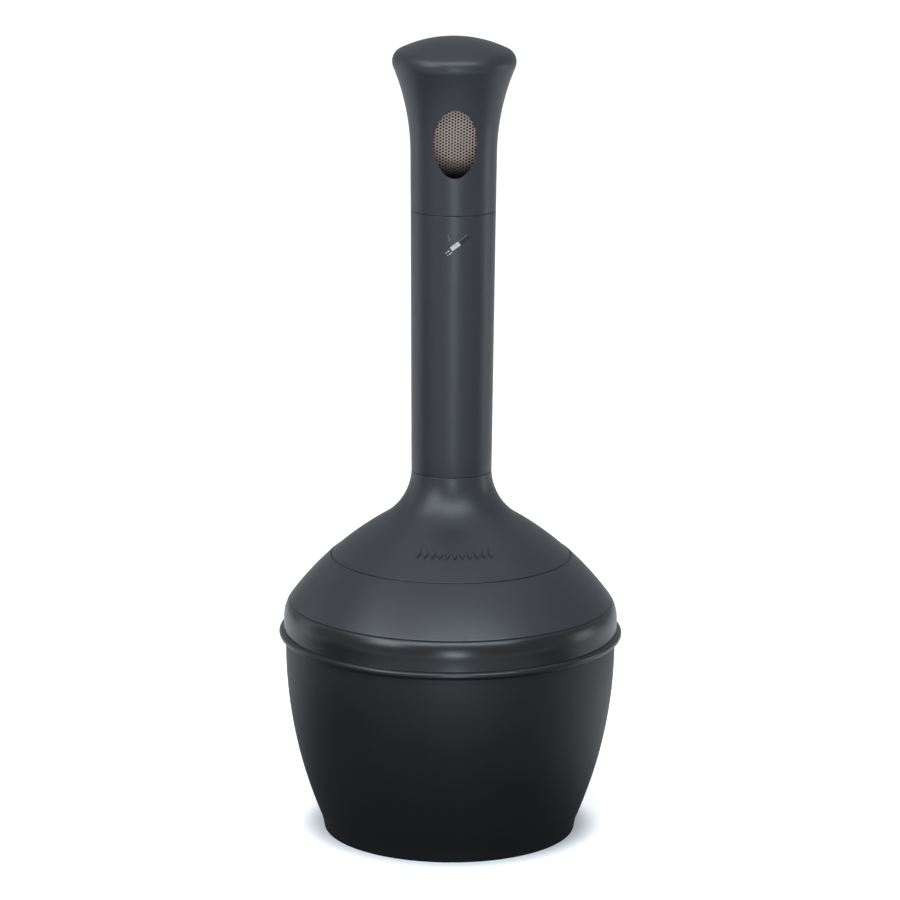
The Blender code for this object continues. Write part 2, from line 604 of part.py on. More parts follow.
def make_bail(look):
    """Bent wire handle: a stub in each eye, a tight bend and a half-circle arch; it lies down in front."""
    ear_face = pail_radius(PIVOT_HEIGHT) + GAP + EAR_SHEET
    eye_end = ear_face + EYE_LENGTH
    reach = eye_end + GAP + BAIL_BEND
    bend = arc((reach - BAIL_BEND, BAIL_BEND), BAIL_BEND, -pi / 2, 0, EDGE_STEPS)
    arch = arc((0, BAIL_BEND), reach, 0, pi, ARCH_STEPS)[1:-1]
    half = [(ear_face + 2 * GAP, 0)] + bend
    mirrored = [(-x, up) for x, up in reversed(half)]
    curve = bpy.data.curves.new("pail_bail", "CURVE")
    curve.dimensions = "3D"
    curve.bevel_depth = BAIL_WIRE
    curve.bevel_resolution = 2
    curve.use_fill_caps = True
    wire = curve.splines.new("POLY")
    points = half + arch + mirrored
    wire.points.add(len(points) - 1)
    for point, (x, up) in zip(wire.points, points):
        point.co = (x, 0, up, 1)
    curve.materials.append(look)
    bail = bpy.data.objects.new("pail_bail", curve)
    bpy.context.scene.collection.objects.link(bail)
    bail.matrix_world = Matrix.Translation((0, 0, PIVOT_HEIGHT)) @ Matrix.Rotation(pi / 2 + BAIL_LIE, 4, "X")
    return bail


def make_symbol(look):
    """Thin slanted cigarette shape that wraps the neck's front."""
    sections = []
    for i in range(SYMBOL_STEPS + 1):
        along = SYMBOL_LENGTH * (i / SYMBOL_STEPS - 1 / 2)
        corners = []
        for side, lift in ((-1, 0), (1, 0), (1, SYMBOL_FILM), (-1, SYMBOL_FILM)):
            across = side * SYMBOL_WIDTH / 2
            span = SYMBOL_OFFSET + along * cos(SYMBOL_TILT) - across * sin(SYMBOL_TILT)
            z = SYMBOL_HEIGHT + along * sin(SYMBOL_TILT) + across * cos(SYMBOL_TILT)
            radius = neck_radius(z) + GAP + lift
            corners.append((radius * sin(span / radius), -radius * cos(span / radius), z))
        sections.append(corners)
    return place("cigarette_symbol", skinned_mesh("cigarette_symbol", sections), look)


black = material("tub_polyethylene", (0.012, 0.012, 0.013), 0.5, 0.0)
charcoal = material("charcoal_polyethylene", (0.045, 0.047, 0.05), 0.5, 0.0)
stainless = material("stainless", (0.55, 0.54, 0.52), 0.35, 1.0)
galvanised = material("galvanised", (0.50, 0.52, 0.53), 0.45, 1.0)
zinc = material("zinc_plated", (0.45, 0.45, 0.44), 0.3, 1.0)
print_white = material("symbol_white", (0.8, 0.8, 0.78), 0.6, 0.0)

make_tub(black)
dome_cover = make_dome(charcoal)
neck_tube = make_neck(charcoal)
head_shell = make_head(charcoal)
make_screen(stainless)
make_top_screws(dome_cover, neck_tube, head_shell, zinc)
make_pail(galvanised, zinc)
make_bail(zinc)
make_symbol(print_white)
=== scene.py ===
"""Free-standing smokers' receptacle: a moulded tub, a domed cover with a tall neck and a flared head,
a perforated snuffing screen behind the mouth, and a galvanised pail with a wire bail inside the tub."""

from math import asin, atan2, cos, exp, pi, radians, sin, sqrt, tan

import bmesh
import bpy
from mathutils import Matrix, Vector


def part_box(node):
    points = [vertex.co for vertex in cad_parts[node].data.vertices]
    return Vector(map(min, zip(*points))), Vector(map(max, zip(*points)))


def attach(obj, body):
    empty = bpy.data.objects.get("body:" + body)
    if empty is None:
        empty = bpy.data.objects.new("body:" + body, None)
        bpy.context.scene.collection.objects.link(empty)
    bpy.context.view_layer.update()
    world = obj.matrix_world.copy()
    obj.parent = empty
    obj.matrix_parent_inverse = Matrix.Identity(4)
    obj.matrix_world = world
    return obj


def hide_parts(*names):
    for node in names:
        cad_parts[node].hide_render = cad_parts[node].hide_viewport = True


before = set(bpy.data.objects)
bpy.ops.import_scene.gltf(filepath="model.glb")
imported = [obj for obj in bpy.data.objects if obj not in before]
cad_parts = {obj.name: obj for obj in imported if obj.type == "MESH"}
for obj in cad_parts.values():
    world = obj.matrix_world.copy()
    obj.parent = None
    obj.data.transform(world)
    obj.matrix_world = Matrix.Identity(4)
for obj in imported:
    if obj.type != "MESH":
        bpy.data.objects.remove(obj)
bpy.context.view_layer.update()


# ---------------------------------------------------------------- studio
# A white paper floor, cool softboxes above the front and the left, weak strips in front and at both sides,
# and a long lens at about standing eye height, five metres away.

def linear(code):
    """An sRGB hex colour as linear RGB."""
    channels = [int(code[i:i + 2], 16) / 255 for i in (1, 3, 5)]
    return [c / 12.92 if c <= 0.04045 else ((c + 0.055) / 1.055) ** 2.4 for c in channels]


def add(tree, kind, links=(), **settings):
    """Adds a node, sets its inputs or properties by name, and feeds inputs from other nodes' outputs."""
    node = tree.nodes.new(kind)
    for name, value in settings.items():
        socket = name.replace("_", " ").title() if name[0].isupper() else None
        if socket and socket in node.inputs:
            node.inputs[socket].default_value = value
        else:
            setattr(node, name, value)
    for source, target in links:
        tree.links.new(source, node.inputs[target])
    return node


def new_material(name):
    """A material with an empty Principled shader; returns it with its tree and shader."""
    material = bpy.data.materials.new(name)
    material.use_nodes = True
    return material, material.node_tree, material.node_tree.nodes["Principled BSDF"]


def mixed(tree, share, low, high):
    """A mix of two colours by a share from 0 to 1; each is an sRGB hex colour or another node's output."""
    node = add(tree, "ShaderNodeMix", [(share, 0)], data_type="RGBA")
    for number, colour in ((6, low), (7, high)):
        if isinstance(colour, str):
            node.inputs[number].default_value = (*linear(colour), 1)
        else:
            tree.links.new(colour, node.inputs[number])
    return node.outputs[2]


def ranged(tree, source, run=(0, 1), to=(0, 1), way="SMOOTHSTEP"):
    """Maps a run of a node's output onto another range."""
    node = add(tree, "ShaderNodeMapRange", [(source, 0)], interpolation_type=way)
    for number, value in enumerate((*run, *to), 1):
        node.inputs[number].default_value = value
    return node.outputs[0]


def bumped(tree, shader, height, strength, distance):
    """Raises a shader's surface by a node's output, strength times distance at most."""
    bump = add(tree, "ShaderNodeBump", [(height, "Height")], Strength=strength, Distance=distance)
    tree.links.new(bump.outputs[0], shader.inputs["Normal"])


def finished(name, bm, material):
    """Makes a bmesh a smooth-shaded object at the origin."""
    mesh = bpy.data.meshes.new(name)
    bm.to_mesh(mesh)
    bm.free()
    mesh.materials.append(material)
    mesh.shade_smooth()
    mesh.set_sharp_from_angle(angle=radians(40))
    piece = bpy.data.objects.new(name, mesh)
    bpy.context.scene.collection.objects.link(piece)
    return piece


SIDEWAYS_RUN = (0.1, 0.5)
SIDEWAYS_SHIFT = 0.45
BEHIND_RUN = (-0.1, 0.7)
AHEAD_RUN = (-0.5, -1.2)
AHEAD_SHARE = 0.75
SHADOW_RUN = (0.155, 0.195)
PAPER_GLOW = 0.5
PAPER_SIZE = 20

# White paper as the lens sees it. To everything but the lens it is dark grey close in front of the object,
# as if flags kept its bounce off, so that the black sides stay black over a white ground. It is lighter a
# metre ahead, and white behind, where the white comes nearer on the right.
paper, tree, shader = new_material("white_paper_sweep")
shader.inputs["Roughness"].default_value = 0.9
shader.inputs["Specular IOR Level"].default_value = 0.1
camera_ray = add(tree, "ShaderNodeLightPath").outputs["Is Camera Ray"]
where = add(tree, "ShaderNodeTexCoord").outputs["Object"]
spread = add(tree, "ShaderNodeSeparateXYZ", [(where, 0)])
nearer = ranged(tree, spread.outputs["X"], SIDEWAYS_RUN, (0, SIDEWAYS_SHIFT))
depth = add(tree, "ShaderNodeMath", [(spread.outputs["Y"], 0), (nearer, 1)], operation="ADD")
behind = ranged(tree, depth.outputs[0], BEHIND_RUN)
ahead = ranged(tree, spread.outputs["Y"], AHEAD_RUN, (0, AHEAD_SHARE))
lighter = add(tree, "ShaderNodeMath", [(behind, 0), (ahead, 1)], operation="MAXIMUM")
bounce = mixed(tree, lighter.outputs[0], "#5a5c60", "#f0f0f0")
tree.links.new(mixed(tree, camera_ray, bounce, "#f6f6f6"), shader.inputs["Base Color"])
# The paper is burnt out to white, apart from a soft shadow close round the foot.
distance = add(tree, "ShaderNodeVectorMath", [(where, 0)], operation="LENGTH")
clear = ranged(tree, distance.outputs["Value"], SHADOW_RUN, (0, PAPER_GLOW))
glow = add(tree, "ShaderNodeMath", [(camera_ray, 0), (clear, 1)], operation="MULTIPLY")
tree.links.new(glow.outputs[0], shader.inputs["Emission Strength"])
shader.inputs["Emission Color"].default_value = (1, 1, 1, 1)
sweep_mesh = bmesh.new()
bmesh.ops.create_grid(sweep_mesh, x_segments=1, y_segments=1, size=PAPER_SIZE)
sweep = finished("studio_floor", sweep_mesh, paper)

world = bpy.data.worlds.new("studio")
world.use_nodes = True
world.node_tree.nodes["Background"].inputs["Color"].default_value = (0.92, 0.96, 1.0, 1)
world.node_tree.nodes["Background"].inputs["Strength"].default_value = 0.38
bpy.context.scene.world = world
bpy.context.scene.view_settings.view_transform = "Standard"


def aimed(name, lamp, place):
    """Hangs a lamp at a place, facing the object's middle."""
    light = bpy.data.objects.new(name, lamp)
    light.location = place
    light.rotation_euler = (Vector((0, 0, 0.5)) - Vector(place)).to_track_quat("-Z", "Y").to_euler()
    bpy.context.scene.collection.objects.link(light)


ceiling = bpy.data.lights.new("ceiling_silk", "SUN")
ceiling.energy = 0.6
ceiling.angle = radians(90)
aimed("ceiling_silk", ceiling, (0.0, -1.0, 6.0))

COOL = (0.78, 0.88, 1.0)
PLAIN = (1.0, 1.0, 1.0)
for name, place, size, watts, colour in (
        ("front_top_softbox", (0.30, -4.0, 4.8), (7.4, 1.7), 240, COOL),
        ("left_top_softbox", (-4.3, -1.8, 4.6), (3.0, 1.7), 54, COOL),
        ("front_strip", (0.05, -5.8, 0.9), (1.5, 2.0), 33, COOL),
        ("low_strip", (0.05, -3.6, 0.3), (0.4, 0.6), 9, COOL),
        ("left_softbox", (-3.0, -2.6, 2.6), (1.6, 1.6), 42, PLAIN),
        ("left_rim", (-3.0, 1.6, 0.8), (1.0, 2.0), 4, PLAIN),
        ("right_rim", (3.2, 0.5, 0.4), (1.0, 1.2), 6.5, PLAIN)):
    lamp = bpy.data.lights.new(name, "AREA")
    lamp.shape = "RECTANGLE"
    lamp.size, lamp.size_y = size
    lamp.energy = watts
    lamp.color = colour
    aimed(name, lamp, place)

LENS_LENGTH = 176.14
SENSOR_WIDTH = 36
LENS_SHIFT = -0.0018
CAMERA_DISTANCE = 5.2
CAMERA_HEIGHT = 1.694
CAMERA_WALK = radians(-2.3)
CAMERA_DIP = 0.23043
CAMERA_ROLL = radians(0.4)

lens = bpy.data.cameras.new("long_lens")
lens.lens = LENS_LENGTH
lens.sensor_width = SENSOR_WIDTH
lens.shift_x = LENS_SHIFT
camera = bpy.data.objects.new("camera", lens)
walk = Matrix.Rotation(CAMERA_WALK, 4, "Z")
camera.location = walk @ Vector((0, -CAMERA_DISTANCE, CAMERA_HEIGHT))
camera.rotation_mode = "QUATERNION"
level = walk @ Matrix.Rotation(pi / 2 - CAMERA_DIP, 4, "X")
camera.rotation_quaternion = (level @ Matrix.Rotation(CAMERA_ROLL, 4, "Z")).to_quaternion()
bpy.context.scene.collection.objects.link(camera)
bpy.context.scene.camera = camera


# ---------------------------------------------------------------- base tub
# The black tub the receptacle stands on, rotationally moulded in polyethylene: a foot ring under a
# recessed floor, a bulging side, a ledge for the cover and an upright rim that the cover's skirt fits over.

def arc(centre, radius, start, end, steps):
    """Points along an arc, angles in radians from the outward radius towards +Z."""
    turn = (end - start) / steps
    return [(centre[0] + radius * cos(start + turn * i), centre[1] + radius * sin(start + turn * i))
            for i in range(steps + 1)]


def turned_mesh(outline, steps=160):
    """Spins (radius, height) points about Z; an outline that stays off the axis is a closed loop."""
    bm = bmesh.new()
    corners = [bm.verts.new((r, 0, z)) for r, z in outline]
    edges = [bm.edges.new(pair) for pair in zip(corners, corners[1:])]
    if outline[0][0] > 0:
        edges.append(bm.edges.new((corners[-1], corners[0])))
    bmesh.ops.spin(bm, geom=corners + edges, cent=(0, 0, 0), axis=(0, 0, 1), angle=2 * pi, steps=steps,
                   use_merge=True)
    bmesh.ops.remove_doubles(bm, verts=bm.verts, dist=0.000001)
    bmesh.ops.recalc_face_normals(bm, faces=bm.faces)
    return bm


FOOT_RADIUS = 0.1538
FOOT_HEIGHT = 0.016
FOOT_SIDE = ((0.0001, 0.0), (0.0008, 0.004), (0.0015, 0.008), (0.0024, 0.012))
FOOT_RING_WIDTH = 0.030
FLOOR_RECESS = 0.006
TUB_RADIUS = 0.2013
TUB_WIDEST_HEIGHT = 0.233
TUB_SIDE_ARC = 0.556
TUB_WALL = 0.004
LEDGE_HEIGHT = 0.2425
RIM_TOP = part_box("base_tub")[1][2]
RIM_RADIUS = 0.1995
RIM_WALL = 0.003


def tub_radius(z):
    return TUB_RADIUS - TUB_SIDE_ARC + sqrt(TUB_SIDE_ARC ** 2 - (TUB_WIDEST_HEIGHT - z) ** 2)


def rounded(corner, before, after, reach, steps=4):
    """Replaces a corner of an outline by a smooth curve that starts reach away from it on both sides."""
    corner, before, after = Vector(corner), Vector(before), Vector(after)
    start = corner + (before - corner).normalized() * reach
    end = corner + (after - corner).normalized() * reach
    curve = []
    for i in range(steps + 1):
        t = i / steps
        point = start * (1 - t) ** 2 + corner * 2 * t * (1 - t) + end * t * t
        curve.append((point.x, point.y))
    return curve


def softened(outline, reach, limit=radians(24)):
    """Rounds every corner of an outline that turns more than limit."""
    soft = [outline[0]]
    for before, corner, after in zip(outline, outline[1:], outline[2:]):
        way_in = Vector(corner) - Vector(before)
        way_out = Vector(after) - Vector(corner)
        if way_in.angle(way_out) > limit:
            room = 0.45 * min(way_in.length, way_out.length)
            soft += rounded(corner, before, after, min(reach, room))
        else:
            soft.append(corner)
    return soft + [outline[-1]]


side_heights = [FOOT_HEIGHT + (LEDGE_HEIGHT - FOOT_HEIGHT) * i / 40 for i in range(41)]
tub_outside = [(tub_radius(z), z) for z in side_heights]
tub_inside = [(r - TUB_WALL, z) for r, z in reversed(tub_outside[1:-2])]
floor_top = FLOOR_RECESS + TUB_WALL
ring_inner = FOOT_RADIUS - FOOT_RING_WIDTH
foot_side = [(FOOT_RADIUS + out, z) for out, z in FOOT_SIDE]
rim = [(RIM_RADIUS, LEDGE_HEIGHT), (RIM_RADIUS, RIM_TOP), (RIM_RADIUS - RIM_WALL, RIM_TOP)]
tub_outline = ([(0, FLOOR_RECESS), (ring_inner - 2 * FLOOR_RECESS, FLOOR_RECESS), (ring_inner, 0)] + foot_side
               + tub_outside + rim + tub_inside + [(FOOT_RADIUS - TUB_WALL, floor_top), (0, floor_top)])

# Black linear polyethylene from a sand-blasted mould: almost black, with a fine orange peel that blurs
# reflections to a satin sheen, slightly uneven from place to place.
tub_plastic, tree, shader = new_material("black_rotomoulded_polyethylene")
where = add(tree, "ShaderNodeTexCoord").outputs["Object"]
cloud = add(tree, "ShaderNodeTexNoise", [(where, "Vector")], Scale=14.0, Detail=4.0)
tint = mixed(tree, cloud.outputs["Fac"], "#0d0e0f", "#131415")
tree.links.new(tint, shader.inputs["Base Color"])
gloss = ranged(tree, cloud.outputs["Fac"], to=(0.42, 0.54), way="LINEAR")
tree.links.new(gloss, shader.inputs["Roughness"])
peel = add(tree, "ShaderNodeTexNoise", [(where, "Vector")], Scale=900.0, Detail=2.0)
bumped(tree, shader, peel.outputs["Fac"], 0.12, 0.0004)

tub = finished("base_tub_shell", turned_mesh(softened(tub_outline, 0.0012)), tub_plastic)
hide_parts("base_tub")
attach(tub, "base")


# ---------------------------------------------------------------- dome cover
# The charcoal cover, moulded in one piece: a rolled bead and an upright skirt over the tub's rim, a
# shoulder groove, a shallow dome with one moulded step line, and a hollow sweep up to the neck's collar.

GAP = 0.0003
BEAD_RADIUS = 0.2095
BEAD_ROUND = 0.005
SKIRT_RADIUS = 0.2036
SKIRT_TOP = 0.2705
ROLL_DROP = 0.004
ROLL_HANDLE = 0.0070
ROLL_END_WAY = (-0.6, 0.8)
INNER_ROLL = (0.0018, 0.0080, 0.0055)
SKIRT_FADE = 0.004
SHOULDER_RADIUS = 0.1969
SHOULDER_HEIGHT = 0.2885
SHOULDER_EDGE = (0.0008, -0.0014)
SHOULDER_GROOVE = ((-0.0004, -0.0010), (-0.0012, -0.0004), (-0.0006, 0.0))
DOME_ARC = 0.3878
DOME_STEP_HEIGHT = 0.3445
DOME_STEP = 0.0012
STEP_GROOVE = ((0.0003, -0.0022), (0.0018, -0.0022), (0.0023, -0.0008))
NECK_FILLET = 0.0733
NECK_FILLET_TOP = 0.4535
COLLAR_RADIUS = 0.0485
COLLAR_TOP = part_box("dome_cover")[1][2]
SLEEVE_FOOT = COLLAR_TOP + GAP - 0.0255
COVER_WALL = 0.0035


def dome_centres(inset):
    """Dome arc and neck fillet moved inwards by inset: both centres, both radii, the meeting angle."""
    fillet = Vector((COLLAR_RADIUS + NECK_FILLET, NECK_FILLET_TOP))
    shoulder = Vector((SHOULDER_RADIUS, SHOULDER_HEIGHT))
    span = fillet - shoulder
    along = (DOME_ARC ** 2 - (DOME_ARC + NECK_FILLET) ** 2 + span.length ** 2) / (2 * span.length)
    across = sqrt(DOME_ARC ** 2 - along ** 2)
    way = span.normalized()
    dome = shoulder + way * along + Vector((-way.y, way.x)) * across
    line = fillet - dome
    return dome, DOME_ARC - inset, fillet, NECK_FILLET + inset, atan2(line.y, line.x)


def fillet_points(inset, top_z, steps):
    dome, dome_round, fillet, fillet_round, meet = dome_centres(inset)
    return arc(fillet, fillet_round, pi + meet, pi + asin((fillet.y - top_z) / fillet_round), steps)[1:]


def blend(start, start_way, end, end_way, handle, steps):
    """Cubic curve between two points of an outline, tangent to a given way at each of them."""
    a, b = Vector(start), Vector(end)
    near = a + Vector(start_way).normalized() * handle
    far = b - Vector(end_way).normalized() * handle
    curve = []
    for i in range(1, steps):
        t = i / steps
        point = a * (1 - t) ** 3 + near * 3 * t * (1 - t) ** 2 + far * 3 * t * t * (1 - t) + b * t ** 3
        curve.append((point.x, point.y))
    return curve


dome, dome_round, fillet, fillet_round, meet = dome_centres(0)
foot_angle = asin((SHOULDER_HEIGHT - dome.y) / dome_round)
step_angle = asin((DOME_STEP_HEIGHT - dome.y) / dome_round)
lower_zone = arc(dome, dome_round, foot_angle, step_angle, 24)
upper_zone = arc(dome, dome_round, step_angle, meet, 30)
lower_zone = [(r + DOME_STEP / 2 * i / 24, z) for i, (r, z) in enumerate(lower_zone)]
upper_zone = [(r - DOME_STEP / 2 * (1 - i / 30), z) for i, (r, z) in enumerate(upper_zone)]
# The step line is a narrow groove, whose corners are given along the surface and out from it. The corners of
# the shoulder's edge and groove are given outwards and upwards from the shoulder.
crest = Vector(lower_zone[-1])
up_slope = Vector((-sin(step_angle), cos(step_angle)))
outward = Vector((cos(step_angle), sin(step_angle)))
step_line = [(crest + up_slope * along + outward * out)[:] for along, out in STEP_GROOVE]
bead_foot = LEDGE_HEIGHT + GAP
bead = arc((BEAD_RADIUS - BEAD_ROUND, bead_foot + BEAD_ROUND), BEAD_ROUND, -pi / 2, radians(100), 20)
shoulder_edge = (SHOULDER_RADIUS + SHOULDER_EDGE[0], SHOULDER_HEIGHT + SHOULDER_EDGE[1])
roll_foot = (SKIRT_RADIUS, SKIRT_TOP - ROLL_DROP)
roll = blend(roll_foot, (0, 1), shoulder_edge, ROLL_END_WAY, ROLL_HANDLE, 16)
band = [roll_foot] + roll + [shoulder_edge]
groove = [(SHOULDER_RADIUS + out, SHOULDER_HEIGHT + up) for out, up in SHOULDER_GROOVE]
skirt_inner = SKIRT_RADIUS - COVER_WALL
inner_dome, inner_round, _, _, inner_meet = dome_centres(COVER_WALL)
inner_foot = asin((SHOULDER_HEIGHT - COVER_WALL * 0.6 - inner_dome.y) / inner_round)
dome_inside = arc(inner_dome, inner_round, inner_foot, inner_meet, 30)
throat_inside = fillet_points(COVER_WALL, SLEEVE_FOOT, 12)
skirt_inside = [(skirt_inner - INNER_ROLL[0], SKIRT_TOP + INNER_ROLL[1]),
                (skirt_inner, SKIRT_TOP - INNER_ROLL[2]), (skirt_inner, bead_foot)]
sleeve = COLLAR_RADIUS - COVER_WALL
throat_outside = fillet_points(0, COLLAR_TOP, 26)
cover_outline = (bead + band + groove + lower_zone + step_line + upper_zone[1:] + throat_outside
                 + [(sleeve, COLLAR_TOP), (sleeve, SLEEVE_FOOT)] + throat_inside[::-1]
                 + dome_inside[::-1] + skirt_inside)

# Charcoal polyethylene: the same satin orange peel as the tub, a shade lighter and a little blue, with
# cloudy patches where the powder melted unevenly. The skirt was polished smoother by the mould.
cover_plastic, tree, shader = new_material("charcoal_rotomoulded_polyethylene")
where = add(tree, "ShaderNodeTexCoord").outputs["Object"]
cloud = add(tree, "ShaderNodeTexNoise", [(where, "Vector")], Scale=16.0, Detail=5.0)
height = add(tree, "ShaderNodeSeparateXYZ", [(where, 0)]).outputs["Z"]
above_skirt = ranged(tree, height, (SHOULDER_HEIGHT - SKIRT_FADE, SHOULDER_HEIGHT))
tint = mixed(tree, cloud.outputs["Fac"], "#26282b", "#2c2e32")
tree.links.new(mixed(tree, above_skirt, "#18191b", tint), shader.inputs["Base Color"])
satin = ranged(tree, cloud.outputs["Fac"], to=(0.32, 0.42), way="LINEAR")
polish = add(tree, "ShaderNodeMix", [(above_skirt, 0), (satin, 3)])
polish.inputs[2].default_value = 0.26
tree.links.new(polish.outputs[0], shader.inputs["Roughness"])
peel = add(tree, "ShaderNodeTexNoise", [(where, "Vector")], Scale=900.0, Detail=2.0)
bumped(tree, shader, peel.outputs["Fac"], 0.12, 0.0004)

cover = finished("dome_cover_shell", turned_mesh(softened(cover_outline, 0.0008), 200), cover_plastic)
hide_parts("dome_cover")
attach(cover, "cover")


# ---------------------------------------------------------------- neck tube
# The tall, slightly tapered neck, moulded with the cover's powder; a reduced spigot at each end goes
# into the dome's collar and into the head, so that only a hairline seam shows.

NECK_FOOT = COLLAR_TOP + GAP
HEAD_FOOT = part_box("head_shell")[0][2]
HEAD_SEAT = HEAD_FOOT - GAP
NECK_FOOT_RADIUS = 0.0487
NECK_TOP_RADIUS = 0.0511
SPIGOT_WALL = 0.003
SPIGOT_CLEARANCE = 0.0004
NECK_TAPER = 0.012
spigot_foot = COLLAR_RADIUS - COVER_WALL - SPIGOT_CLEARANCE
spigot_top = NECK_TOP_RADIUS - COVER_WALL - SPIGOT_CLEARANCE


def neck_radius(z):
    share = (z - NECK_FOOT) / (HEAD_FOOT - NECK_FOOT)
    return NECK_FOOT_RADIUS + (NECK_TOP_RADIUS - NECK_FOOT_RADIUS) * share


neck_low, neck_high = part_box("neck_tube")
neck_heights = [NECK_FOOT + (HEAD_SEAT - NECK_FOOT) * i / 12 for i in range(13)]
foot_bore = spigot_foot - SPIGOT_WALL
top_bore = spigot_top - SPIGOT_WALL
foot_spigot = [(foot_bore, neck_low[2]), (spigot_foot, neck_low[2]), (spigot_foot, NECK_FOOT)]
top_spigot = [(spigot_top, HEAD_SEAT), (spigot_top, neck_high[2]), (top_bore, neck_high[2])]
neck_inside = [(top_bore, HEAD_SEAT - NECK_TAPER / 2),
               (neck_radius(HEAD_SEAT - NECK_TAPER) - COVER_WALL, HEAD_SEAT - 1.5 * NECK_TAPER),
               (neck_radius(NECK_FOOT + NECK_TAPER) - COVER_WALL, NECK_FOOT + 1.5 * NECK_TAPER),
               (foot_bore, NECK_FOOT + NECK_TAPER / 2)]
neck_outline = foot_spigot + [(neck_radius(z), z) for z in neck_heights] + top_spigot + neck_inside
neck = finished("neck_tube_shell", turned_mesh(softened(neck_outline, 0.0007), 128), cover_plastic)
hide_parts("neck_tube")
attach(neck, "cover")


# ---------------------------------------------------------------- head shell
# The flared head, moulded in one piece with its rounded cap; the oval mouth is cut out of its front by a
# router, which leaves the wall's thickness showing, and two bosses inside carry the screen.

FLARE_FOOT_RADIUS = 0.0518
FLARE_FOOT_HEIGHT = 0.8363
FLARE_ARC = 0.2765
FLARE_TOP_HEIGHT = 0.942
HEAD_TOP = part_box("head_shell")[1][2]
CAP_ARC = 0.150
CAP_EDGE_RADIUS = 0.0655
RIM_HANDLE = 0.0085
MOUTH_WIDTH = 0.0514
MOUTH_HEIGHT = 0.083
MOUTH_CENTRE = 0.857
MOUTH_CUT = 0.1


def head_radius(z):
    if z < FLARE_FOOT_HEIGHT:
        share = (z - HEAD_FOOT) / (FLARE_FOOT_HEIGHT - HEAD_FOOT)
        return NECK_TOP_RADIUS + (FLARE_FOOT_RADIUS - NECK_TOP_RADIUS) * share
    return FLARE_FOOT_RADIUS + FLARE_ARC - sqrt(FLARE_ARC ** 2 - (z - FLARE_FOOT_HEIGHT) ** 2)


def head_side(inset):
    """The head from its foot to the middle of its cap, moved inwards by inset."""
    lower = [HEAD_FOOT + (FLARE_FOOT_HEIGHT - HEAD_FOOT) * i / 16 for i in range(16)]
    upper = [FLARE_FOOT_HEIGHT + (FLARE_TOP_HEIGHT - FLARE_FOOT_HEIGHT) * i / 32 for i in range(33)]
    side = [(head_radius(z) - inset, z) for z in lower + upper]
    rise = FLARE_TOP_HEIGHT - FLARE_FOOT_HEIGHT
    cap_round = CAP_ARC - inset
    edge_angle = asin((CAP_EDGE_RADIUS - inset) / cap_round)
    cap_centre = (0, HEAD_TOP - CAP_ARC)
    cap = arc(cap_centre, cap_round, pi / 2 - edge_angle, pi / 2, 24)
    flare_way = (rise, sqrt(FLARE_ARC ** 2 - rise ** 2))
    cap_way = (-cos(edge_angle), sin(edge_angle))
    rim = blend(side[-1], flare_way, cap[0], cap_way, RIM_HANDLE - inset / 2, 16)
    return side + rim + cap[:-1] + [(0, cap_centre[1] + cap_round)]


def apply_modifiers(piece):
    """Turns a piece's live modifiers into its mesh."""
    shown = piece.evaluated_get(bpy.context.evaluated_depsgraph_get())
    baked = bpy.data.meshes.new_from_object(shown)
    piece.modifiers.clear()
    piece.data = baked


def carve(piece, tool, operation="DIFFERENCE"):
    """Cuts a tool object out of a piece, or joins it, and removes the tool."""
    cut = piece.modifiers.new("carve", "BOOLEAN")
    cut.operation = operation
    cut.solver = "EXACT"
    cut.object = tool
    bpy.context.view_layer.update()
    apply_modifiers(piece)
    bpy.data.objects.remove(tool, do_unlink=True)


head_inside = head_side(COVER_WALL)
head_outline = head_inside[::-1] + head_side(0)
head = finished("head_shell_flared", turned_mesh(softened(head_outline, 0.0006), 160), cover_plastic)

mouth_mesh = bmesh.new()
bmesh.ops.create_cone(mouth_mesh, cap_ends=True, segments=96, radius1=1, radius2=1, depth=1)
mouth_front = Matrix.Translation((0, -MOUTH_WIDTH / 2 - COVER_WALL - MOUTH_CUT / 2, MOUTH_CENTRE))
mouth_place = (mouth_front @ Matrix.Rotation(pi / 2, 4, "X")
               @ Matrix.Diagonal((MOUTH_WIDTH / 2, MOUTH_HEIGHT / 2, MOUTH_CUT, 1)))
bmesh.ops.transform(mouth_mesh, matrix=mouth_place, verts=mouth_mesh.verts)
carve(head, finished("mouth_tool", mouth_mesh, cover_plastic))
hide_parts("head_shell")
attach(head, "cover")


# ---------------------------------------------------------------- snuffing screen
# A flat plate of 1 mm stainless sheet, punched with 3 mm holes 4.04 mm apart in staggered rows, leaning
# inside the head behind the mouth; cigarettes are rubbed out on it and dropped through the gap below it.

SCREEN_TILT = radians(19)
SCREEN_TOP = 0.908
SCREEN_BOTTOM = 0.806
SCREEN_SHEET = 0.001
SCREEN_TOP_INSET = 0.004
SCREEN_EDGE_CLEARANCE = 0.0005
SCREEN_SIDE_CLEARANCE = 0.0002
HOLE_DIAMETER = 0.0030
HOLE_PITCH = 0.00404
HOLE_COLUMNS = 13
HOLE_ROWS = 14
SCREEN_MARGIN = 0.0032
# Heights above the plate's foot over which its painted shade fades out.
PAINTED_SHADE_RUN = (0.006, 0.034)
SCREEN_WAY = Vector((0, -cos(SCREEN_TILT), -sin(SCREEN_TILT)))
SCREEN_UP = Vector((0, -sin(SCREEN_TILT), cos(SCREEN_TILT)))


def screen_depth(z):
    top = head_radius(SCREEN_TOP) - COVER_WALL - SCREEN_TOP_INSET
    return top - (SCREEN_TOP - z) * tan(SCREEN_TILT)


def screen_half_width(z):
    wall = head_radius(z) - COVER_WALL - SCREEN_EDGE_CLEARANCE
    return sqrt(wall ** 2 - screen_depth(z) ** 2) - SCREEN_SIDE_CLEARANCE


